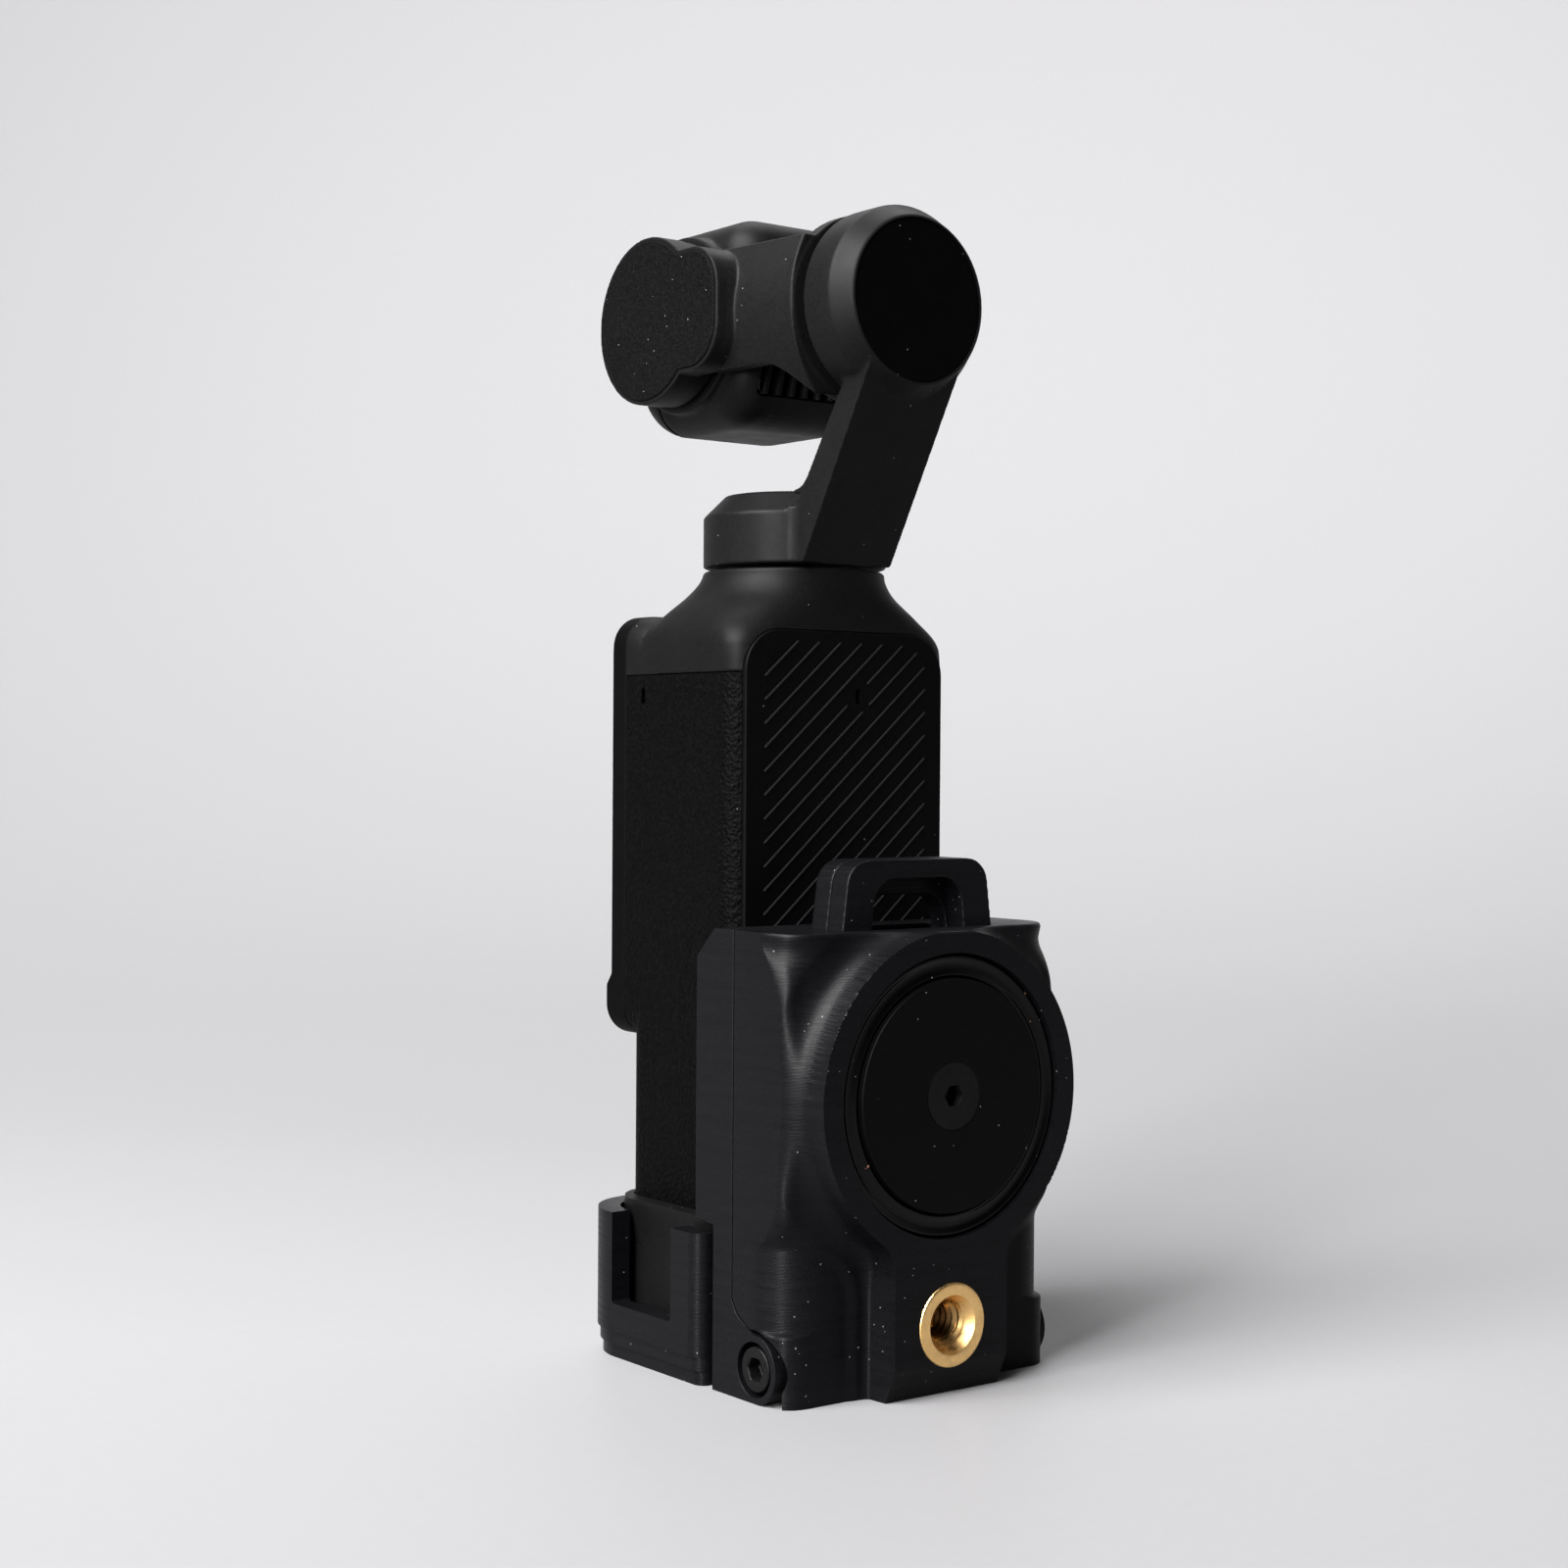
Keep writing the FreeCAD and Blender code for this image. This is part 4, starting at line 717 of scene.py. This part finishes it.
def bracket_ring(y):
    """Section of the curved plate that carries the tilt motor, at depth y."""
    reach = 16.4 - 1.6 * (y - 6.0) / 13.2
    low = 152.9 - 6.4 * max(0.0, (y - 10.5) / 8.7) ** 1.6
    high = 171.55
    bow = 22.0
    pts = []
    for z in np.linspace(low, high, 24):
        pts.append((reach - bow + math.sqrt(bow ** 2 - (z - AXIS_Z) ** 2), y, z))
    inner = 12.0 - 6.0 * float(step((y - 12.5) / 3.0))
    return [(inner, y, low)] + pts + [(inner, y, high)]


def make_bracket():
    """The roll bracket and the tilt motor's housing, which flow into each other, and the cap."""
    rings = []
    for x, flare in ((15.0, 1.4), (16.2, 0.9), (17.5, 0.4), (18.6, 0.15), (19.2, 0.0)):
        rings.append([(x, y + flare * max(0.0, y) / 6, z) for y, z in lobed(0.3)])
    solids = [loft(rings)]
    solids.append(prism_x(circle(CAP[0], CAP[1], 13.0), 13.1, 16.2))
    solids.append(loft([bracket_ring(y) for y in np.linspace(-2.0, 18.2, 60)]))
    solids.append(disc_cutter(14.5, 15.6, 18.4, 0, AXIS_Z))
    ob = melted("look_roll_bracket", solids, 0.22, 3)
    carve(ob, prism_x(lobed(-0.28), 18.7, 22.0))
    smooth(ob.data, 50)
    finish_piece(ob, M["body_dark"], "body_dark", "roll", "roll_bracket", "tilt_housing")
    cap = solid_object("look_tilt_cap", *prism_x(lobed(-0.34), 18.6, 19.42))
    bevelled(cap, 0.22, 3, 50)
    finish_piece(cap, M["cap_leather"], "cap_leather", "roll", "tilt_cap")


def head_loft(y0, y1):
    """The rounded camera head between two planes across the optical axis."""
    left, right = -16.0, 11.4
    low, high, front, rear = 145.3, 177.9, -30.5, 1.9
    end = 6.0
    xs = [left + end * (1 - math.cos(t)) for t in np.linspace(0.02, math.pi / 2, 18)]
    xs += [right - end * (1 - math.cos(t)) for t in np.linspace(math.pi / 2, 0.02, 18)]
    rings = []
    for x in xs:
        gap = min(x - left, right - x)
        e = 0 if gap > end else end - math.sqrt(max(end ** 2 - (end - gap) ** 2, 0))
        pts = rounded(box_outline(front + e, rear - e, low + e, high - e),
                      [10.0 - e, 9.0 - e, 6.6 - e, 10.0 - e], 14)
        rings.append([(x, min(max(y, y0), y1), z) for y, z in pts])
    return loft(rings)


def make_head():
    """The two shells of the camera head and the fins in the rear one's bay."""
    bay = rounded(box_outline(-12.0, 8.0, 149.7, 169.3), 1.0)
    collar = prism_x(circle(CAP[0], CAP[1], 14.0), 9.0, 12.5)
    rear = melted("look_head_rear", [head_loft(-21.9, 3.0), collar], 0.3, 5)
    carve(rear, prism_y(bay, -6.5, 5.0))
    smooth(rear.data, 50)
    finish_piece(rear, M["body_dark"], "body_dark", "head", "head_rear_shell")
    front = melted("look_head_front", [head_loft(-31.0, -22.15)], 0.3, 5)
    carve(front, disc_cutter(11.2, -36, -20, -1.8, AXIS_Z))
    smooth(front.data, 50)
    finish_piece(front, M["body_dark"], "body_dark", "head", "head_front_shell")
    # the cooling fins lean sideways
    solids = [prism_y(bay, -6.5, -4.9)]
    pitch, lean, thick = 2.6, 4.2, 0.85
    for i in range(9):
        x = -13.6 + pitch * i
        pts = [(x, 169.0), (x + thick, 169.0), (x + lean + thick, 150.0), (x + lean, 150.0)]
        pts = [(min(max(px, -11.9), 7.9), pz) for px, pz in pts]
        if pts[1][0] - pts[0][0] > 0.3:
            solids.append(prism_y(pts, -5.2, 1.0))
    fins = melted("look_heat_sink", solids, 0.2, 1)
    finish_piece(fins, M["fin_metal"], "fin_metal", "head", "heat_sink")


# ---------------------------------------------------------------- handle
def radius_at(ang, half_x, y0, y1, kind):
    """Distance from the middle of a section to its outline: kind is the power of a superellipse, or
    a pair of corner radii, at the front and at the back."""
    cy, hy = (y0 + y1) / 2, (y1 - y0) / 2
    c, s = np.cos(ang), np.sin(ang)
    if isinstance(kind, float):
        return (np.abs(c / half_x) ** kind + np.abs(s / hy) ** kind) ** (-1 / kind)
    lo, hi = np.zeros_like(ang), np.full_like(ang, 60.0)
    for _ in range(34):
        mid = (lo + hi) / 2
        x, y = mid * c, mid * s
        r = np.where(y > 0, kind[1], kind[0])
        qx, qy = np.abs(x) - half_x + r, np.abs(y) - hy + r
        d = np.hypot(np.maximum(qx, 0), np.maximum(qy, 0)) + np.minimum(np.maximum(qx, qy), 0) - r
        lo, hi = np.where(d < 0, mid, lo), np.where(d < 0, hi, mid)
    return lo


# levels of the shoulder: height, half width, front, back, power of its outline
NECK = [(106.0, 21.1, -16.0, 13.5, 7.0), (110.4, 21.1, -16.0, 13.5, 7.0), (112.6, 20.6, -15.75, 13.35, 5.4),
        (115.6, 18.6, -15.2, 13.1, 3.6), (118.6, 15.9, -14.8, 13.2, 2.5), (121.0, 14.6, -14.3, 13.7, 2.08),
        (122.3, 14.3, -14.2, 14.0, 2.0)]


def make_shoulder():
    """The cover that narrows from the handle's outline to the round pan hub."""
    table = np.array(NECK)
    steps = 200
    ang = np.linspace(0, 2 * np.pi, steps, endpoint=False)
    zs = [106.0, 106.06, 106.2, 106.4] + list(np.linspace(106.8, 121.9, 62)) + [122.1, 122.25, 122.3]
    rings = []
    for z in zs:
        half, y0, y1, power = (float(smooth_lookup(z, table[:, 0], table[:, k])) for k in (1, 2, 3, 4))
        inset = 0.25 * max(0.0, (106.3 - z) / 0.3) ** 2 + 0.3 * max(0.0, (z - 121.9) / 0.4) ** 2
        square = radius_at(ang, half, y0, y1, (5.0, 4.2))
        oval = radius_at(ang, half, y0, y1, power)
        w = float(step((z - 108.0) / 6.5))
        r = square * (1 - w) + oval * w - inset
        cy = (y0 + y1) / 2
        rings.append([(a * math.cos(t), cy + a * math.sin(t), z) for a, t in zip(r, ang)])
    ob = solid_object("look_shoulder_cover", *loft(rings), 50)
    # the square front edge behind the screen fades back into the dome
    rings = []
    for y, top, corner in ((-16.0, 115.5, 5.0), (-15.0, 115.45, 5.1), (-13.5, 115.2, 5.5),
                           (-12.0, 114.7, 6.1), (-10.5, 114.0, 6.8), (-9.0, 113.2, 7.4),
                           (-7.0, 112.0, 8.0), (-5.0, 110.5, 8.0)):
        outline = rounded(box_outline(-21.08, 21.08, 101.0, top), [0, 0, corner, corner], 12)
        rings.append([(x, y, max(z, 106.08)) for x, z in outline])
    carve(ob, loft(rings), operation="UNION")
    carve(ob, prism_y(panel_outline(0.12), 11.8, 20.0))
    smooth(ob.data, 40)
    finish_piece(ob, M["soft_touch_black"], "soft_touch_black", "mount", "shoulder_cover")


def smooth_lookup(z, zs, values):
    """A smooth curve through a few levels."""
    slopes = np.gradient(values, zs)
    i = int(np.clip(np.searchsorted(zs, z) - 1, 0, len(zs) - 2))
    h = zs[i + 1] - zs[i]
    t = (z - zs[i]) / h
    secant = (values[i + 1] - values[i]) / h
    m0, m1 = slopes[i], slopes[i + 1]
    if abs(secant) < 1e-9:
        m0 = m1 = 0
    return ((2 * t ** 3 - 3 * t ** 2 + 1) * values[i] + (t ** 3 - 2 * t ** 2 + t) * h * m0
            + (3 * t ** 2 - 2 * t ** 3) * values[i + 1] + (t ** 3 - t ** 2) * h * m1)


(_, _, PANEL_LOW), (PANEL_HALF, _, PANEL_HIGH) = box_mm("rear_grip_panel")
PANEL_FACE = 13.46


def panel_outline(grow):
    half = PANEL_HALF + grow
    return rounded(box_outline(-half, half, PANEL_LOW - grow, PANEL_HIGH + grow), [2.0, 2.0, 6.5, 6.5], 14)


def make_panel():
    """The panel on the back of the handle, with its ribs and microphone slot."""
    flat = solid_object("look_rear_grip_panel", *prism_y(panel_outline(0.0), 12.0, PANEL_FACE))
    bevelled(flat, 0.3, 3, 50)
    apply_modifiers(flat)
    carve(flat, prism_y(rounded(box_outline(-2.85, -1.75, 101.5, 104.0), 0.5), 12.6, 15.0))
    # slim raised ribs that lean, with a gap round the microphone slot
    x_hi, x_lo, low, high = 15.8, -16.0, 30.0, 111.0
    slope, pitch, first = 0.87, 3.6, -31.4
    field_corner = 4.6
    section = ((-0.24, -0.06), (-0.15, 0.13), (0.0, 0.2), (0.15, 0.13), (0.24, -0.06))
    verts, faces = [], []
    unit = np.array([-1.0, slope]) / math.hypot(1, slope)
    side = np.array([unit[1], -unit[0]])
    for i in range(40):
        z0 = first + pitch * i
        ts = []
        for t in np.linspace(0, 44, 440):
            p = np.array([x_hi, z0]) + unit * t
            corner = max(0.0, field_corner - (high - p[1]))
            inset = field_corner - math.sqrt(max(field_corner ** 2 - corner ** 2, 0))
            clear = math.hypot(p[0] + 2.3, p[1] - 102.75) > 2.5
            ts.append(x_lo + inset <= p[0] <= x_hi - inset and low <= p[1] <= high and clear)
        runs, start = [], None
        for k, ok in enumerate(ts + [False]):
            if ok and start is None:
                start = k
            if not ok and start is not None:
                if k - start > 8:
                    runs.append((start * 0.1, (k - 1) * 0.1))
                start = None
        for a, b in runs:
            rings = []
            for t in [a, a + 0.12, a + 0.3] + list(np.linspace(a + 1, b - 1, 6)) + [b - 0.3, b - 0.12, b]:
                fade = min(1.0, min(t - a, b - t) / 0.3 + 0.25)
                p = np.array([x_hi, z0]) + unit * t
                ring = []
                for u, h in section:
                    q = p + side * u * fade
                    ring.append((q[0], PANEL_FACE + h * (fade if h > 0 else 1), q[1]))
                rings.append(ring)
            v, f = loft(rings)
            faces += [tuple(n + len(verts) for n in face) for face in f]
            verts += v
    absorb(flat, solid_object("ribs", verts, faces, 60))
    smooth(flat.data, 50)
    finish_piece(flat, M["panel_black"], "panel_black", "mount", "rear_grip_panel")


# ---------------------------------------------------------------- pan arm
def make_arm():
    """The chamfered hub, the slanted arm that rises from it and the round roll housing at its top."""
    z0, hub_r, hub_top, chamfer = 122.9, 14.4, 134.2, 3.4
    rings = []
    for r, z in ((hub_r - 0.15, z0), (hub_r, z0 + 0.2), (hub_r, hub_top - chamfer),
                 (hub_r - chamfer, hub_top)):
        rings.append([(x, y, z) for x, y in circle(0, 0, r, 160)])
    solids = [loft(rings)]
    half, foot, back, bend = 8.7, 13.3, 29.6, 152.0
    lean = (back - 12.3) / (bend - z0)
    top = AXIS_Z - 4.0
    arm = [(6.0, z0), (foot, z0), (back, bend), (back, top), (7.5 + lean * (top - z0), top)]
    solids.append(prism_x(arm, -half, half))
    # blend from the hub's top to the front of the arm
    curve = [(14.4, 133.4), (11.0, 133.4), (11.0, 134.1), (12.2, 134.25), (13.2, 134.7),
             (13.9, 135.4), (14.6, 136.4)]
    solids.append(prism_x(curve, -half, half))
    # blends from the sides of the arm to the round hub
    r = 3.0
    cx = half + r
    cy = math.sqrt((hub_r + r) ** 2 - cx ** 2)
    a0 = math.atan2(-cy, -cx)
    for side in (1, -1):
        pts = [(side * 6.0, 8.0)]
        for t in np.linspace(0, 1, 10):
            a = math.pi - t * (math.pi - abs(a0))
            pts.append((side * (cx + r * math.cos(a)), cy - r * math.sin(a)))
        solids.append(loft([[(x, y, z) for x, y in pts] for z in (z0 + 0.1, hub_top - 2.6)]))
    rings = []
    for rad, y in ((14.3, 20.5), (14.6, 20.8), (14.6, 26.6), (12.55, 29.9), (12.35, 30.0)):
        rings.append([(x, y, z) for x, z in circle(0, AXIS_Z, rad, 192)])
    solids.append(loft(rings))
    ob = melted("look_pan_arm", solids, 0.27, 2)
    # the seat of the roll cap, the motor's room and the shaft's bore
    carve(ob, disc_cutter(12.2, 28.3, 32, 0, AXIS_Z, 192))
    carve(ob, disc_cutter(13.0, 22.0, 26.4, 0, AXIS_Z, 96))
    carve(ob, disc_cutter(3.4, 19.0, 23.0, 0, AXIS_Z, 64))
    # the hub is cut off flush with the arm's slanted back
    rise = (back - foot) / (bend - z0)
    behind = [(13.35 - 2 * rise, z0 - 2), (13.35 + rise * 15, z0 + 15), (40, z0 + 15), (40, z0 - 2)]
    carve(ob, prism_x(behind, -20, 20))
    smooth(ob.data, 50)
    finish_piece(ob, M["body_dark"], "body_dark", "pan", "pan_arm")


# ---------------------------------------------------------------- insert with its thread
def lathe_y(profile, x, z, steps=160):
    """A closed ring turned about a Y axis from an outline of (radius, y) points."""
    n = len(profile)
    verts, faces = [], []
    for k in range(steps):
        a = 2 * math.pi * k / steps
        verts += [(x + r * math.cos(a), y, z + r * math.sin(a)) for r, y in profile]
    for k in range(steps):
        m = (k + 1) % steps
        faces += [(k * n + j, m * n + j, m * n + (j + 1) % n, k * n + (j + 1) % n) for j in range(n)]
    return verts, faces


def make_insert():
    """The brass insert: a flanged sleeve with a helical ridge in its bore."""
    f = FACE
    profile = [(3.22, f - 10.6), (4.7, f - 10.6), (4.7, f - 1.25), (5.9, f - 1.25), (6.2, f - 1.0),
               (6.2, f + 0.02), (6.12, f + 0.16), (5.95, f + 0.24), (5.7, f + 0.25), (4.55, f + 0.25),
               (4.36, f + 0.2), (4.25, f + 0.08), (3.5, f - 0.95), (3.22, f - 1.2)]
    ob = solid_object("look_threaded_insert", *lathe_y(profile, 0, SOCKET_Z), 28)
    pitch, turns, per = 1.27, 7.3, 72
    verts, faces = [], []
    count = int(turns * per)
    for k in range(count + 1):
        a = 2 * math.pi * k / per
        y = f - 1.15 - pitch * k / per
        crest = 3.26 - 0.6 * min(1.0, k / 50.0, (count - k) / 50.0)
        for r, dy in ((3.26, 0.56), (crest, 0.08), (crest, -0.08), (3.26, -0.56)):
            verts.append((r * math.cos(a), y + dy, SOCKET_Z + r * math.sin(a)))
    for k in range(count):
        for j in range(4):
            m = (j + 1) % 4
            faces.append((4 * k + j, 4 * k + m, 4 * (k + 1) + m, 4 * (k + 1) + j))
    faces += [(0, 1, 2, 3), tuple(4 * count + j for j in (3, 2, 1, 0))]
    absorb(ob, solid_object("thread", verts, faces, 28))
    smooth(ob.data, 28)
    finish_piece(ob, M["insert_brass"], "insert_brass", "leaf", "threaded_insert")


def make_latch():
    """The two layers of the finger loop, each with well-rounded edges."""
    for node in sorted(SOFT):
        bm = clean_copy(node)
        verts = [tuple(c / MM for c in v.co) for v in bm.verts]
        bm.verts.index_update()
        faces = [tuple(v.index for v in face.verts) for face in bm.faces]
        bm.free()
        ob = melted("look_" + node, [(verts, faces)], 0.2, 14)
        finish_piece(ob, M[slot_of(node)], slot_of(node), BODY_OF[node], node)


def make_ring():
    """The coated ring: two rounded lips with a shallow channel between them."""
    f = FACE
    profile = [(17.4, f - 3.4), (20.8, f - 3.4), (20.8, f - 1.25), (20.74, f - 0.98),
               (20.55, f - 0.79), (20.25, f - 0.71), (19.95, f - 0.78), (19.7, f - 0.95),
               (19.3, f - 1.05), (18.7, f - 1.05), (18.25, f - 0.95), (18.0, f - 0.79),
               (17.75, f - 0.71), (17.55, f - 0.78), (17.43, f - 0.95), (17.4, f - 1.2)]
    ob = solid_object("look_ring_magnet", *lathe_y(profile, 0, DISC_Z, 192), 60)
    finish_piece(ob, M["magnet_coating"], "magnet_coating", "leaf", "ring_magnet")


make_leaf()
make_ring()
make_latch()
make_bracket()
make_head()
make_shoulder()
make_panel()
make_arm()
make_insert()


# ---------------------------------------------------------------- stage
FLOOR_FLAT = 550                # radius of the flat floor, in millimetres
WALL_CURVE = 1750               # radius of the curve up to the wall
WALL_TOP = 2300
FLOOR_GAP = 0.02                # the floor lies this far below the foot of the mount


def bowl():
    """A pale floor that curves up into a round wall."""
    profile = [(300, 0), (FLOOR_FLAT, 0)]
    for i in range(1, 31):
        a = math.pi / 2 * i / 30
        profile.append((FLOOR_FLAT + WALL_CURVE * math.sin(a), WALL_CURVE - WALL_CURVE * math.cos(a)))
    profile.append((FLOOR_FLAT + WALL_CURVE, WALL_TOP))
    steps = 96
    verts = []
    faces = []
    for r, z in profile:
        verts += [(x, y, z - FLOOR_GAP) for x, y in circle(0, 0, r, steps)]
    for j in range(len(profile) - 1):
        for k in range(steps):
            n = (k + 1) % steps
            faces.append((j * steps + k, j * steps + n, (j + 1) * steps + n, (j + 1) * steps + k))
    faces.append(tuple(range(steps)))
    return mesh_object("studio_floor", verts, faces, 80)


floor = bowl()
floor_mat = principled("floor_paper", (0.184, 0.182, 0.186), 0.5, 0.1)
net = Net(floor_mat)
fibre = net.ramp(net.noise(net.coord, 420, 3.0), 0.3, 0.7, 0, 1)
paper = net.mix(fibre, (0.182, 0.180, 0.184), (0.186, 0.184, 0.188))
# the bowl is darker on the camera's side, so that it lights the mount less
along = net.node("ShaderNodeVectorMath", operation="DOT_PRODUCT")
net.link(net.coord, along.inputs[0])
along.inputs[1].default_value = (-0.606, -0.795, 0.0)
away = net.ramp(along.outputs["Value"], -0.6, 0.0, 0, 1)
net.set("Base Color", net.mix(away, (0.093, 0.092, 0.094), paper))
floor.data.materials.append(floor_mat)


def area_light(name, location, target, w, h, power):
    """A white rectangular light, in metres and watts, that faces a target."""
    data = bpy.data.lights.new(name, "AREA")
    data.shape = "RECTANGLE"
    data.size = w
    data.size_y = h
    data.energy = power
    ob = bpy.data.objects.new(name, data)
    ob.location = location
    ob.rotation_mode = "QUATERNION"
    ob.rotation_quaternion = (Vector(target) - Vector(location)).to_track_quat("-Z", "Y")
    bpy.context.scene.collection.objects.link(ob)


area_light("key_left", (0.95, 0.1, 1.1), (0, 0, 0.09), 1.1, 1.1, 108)
area_light("top_back", (-0.35, -0.5, 1.3), (-0.15, -0.2, 0.0), 0.9, 0.9, 11)
area_light("wall_wash", (-0.4, -0.5, 1.6), (-2.1, -1.9, 1.0), 1.4, 0.8, 95)
area_light("side_strip", (0.85, 0.42, 0.28), (0, 0, 0.08), 0.12, 0.5, 13)

world = bpy.data.worlds.new("studio_air")
bpy.context.scene.world = world
world.use_nodes = True
world.node_tree.nodes["Background"].inputs["Color"].default_value = (0.9, 0.9, 0.93, 1)
world.node_tree.nodes["Background"].inputs["Strength"].default_value = 0.04

# ---------------------------------------------------------------- camera
# The place, turns and lens come from a least squares fit to circles and corners picked in the photo.
# It was solved together with the part's sizes, with the width and depth of the grip assumed.
CAMERA_AT = (0.24033, 0.31292, 0.09293)
turn, pitch, roll = math.radians(142.68), math.radians(0.57), math.radians(0.39)
forward = Vector((-math.sin(turn) * math.cos(pitch), math.cos(turn) * math.cos(pitch), -math.sin(pitch)))
right = Vector((math.cos(turn), math.sin(turn), 0))
up = right.cross(forward)
image_x = right * math.cos(roll) + up * math.sin(roll)
image_y = up * math.cos(roll) - right * math.sin(roll)
cam_data = bpy.data.cameras.new("photo_camera")
cam_data.lens = 57.2
cam_data.sensor_width = 36.0
cam_data.clip_start = 0.01
cam_data.clip_end = 20
camera = bpy.data.objects.new("photo_camera", cam_data)
bpy.context.scene.collection.objects.link(camera)
axes = Matrix((image_x, image_y, -forward)).transposed()
camera.matrix_world = Matrix.Translation(CAMERA_AT) @ axes.to_4x4()
bpy.context.scene.camera = camera
bpy.context.scene.view_settings.view_transform = "Standard"
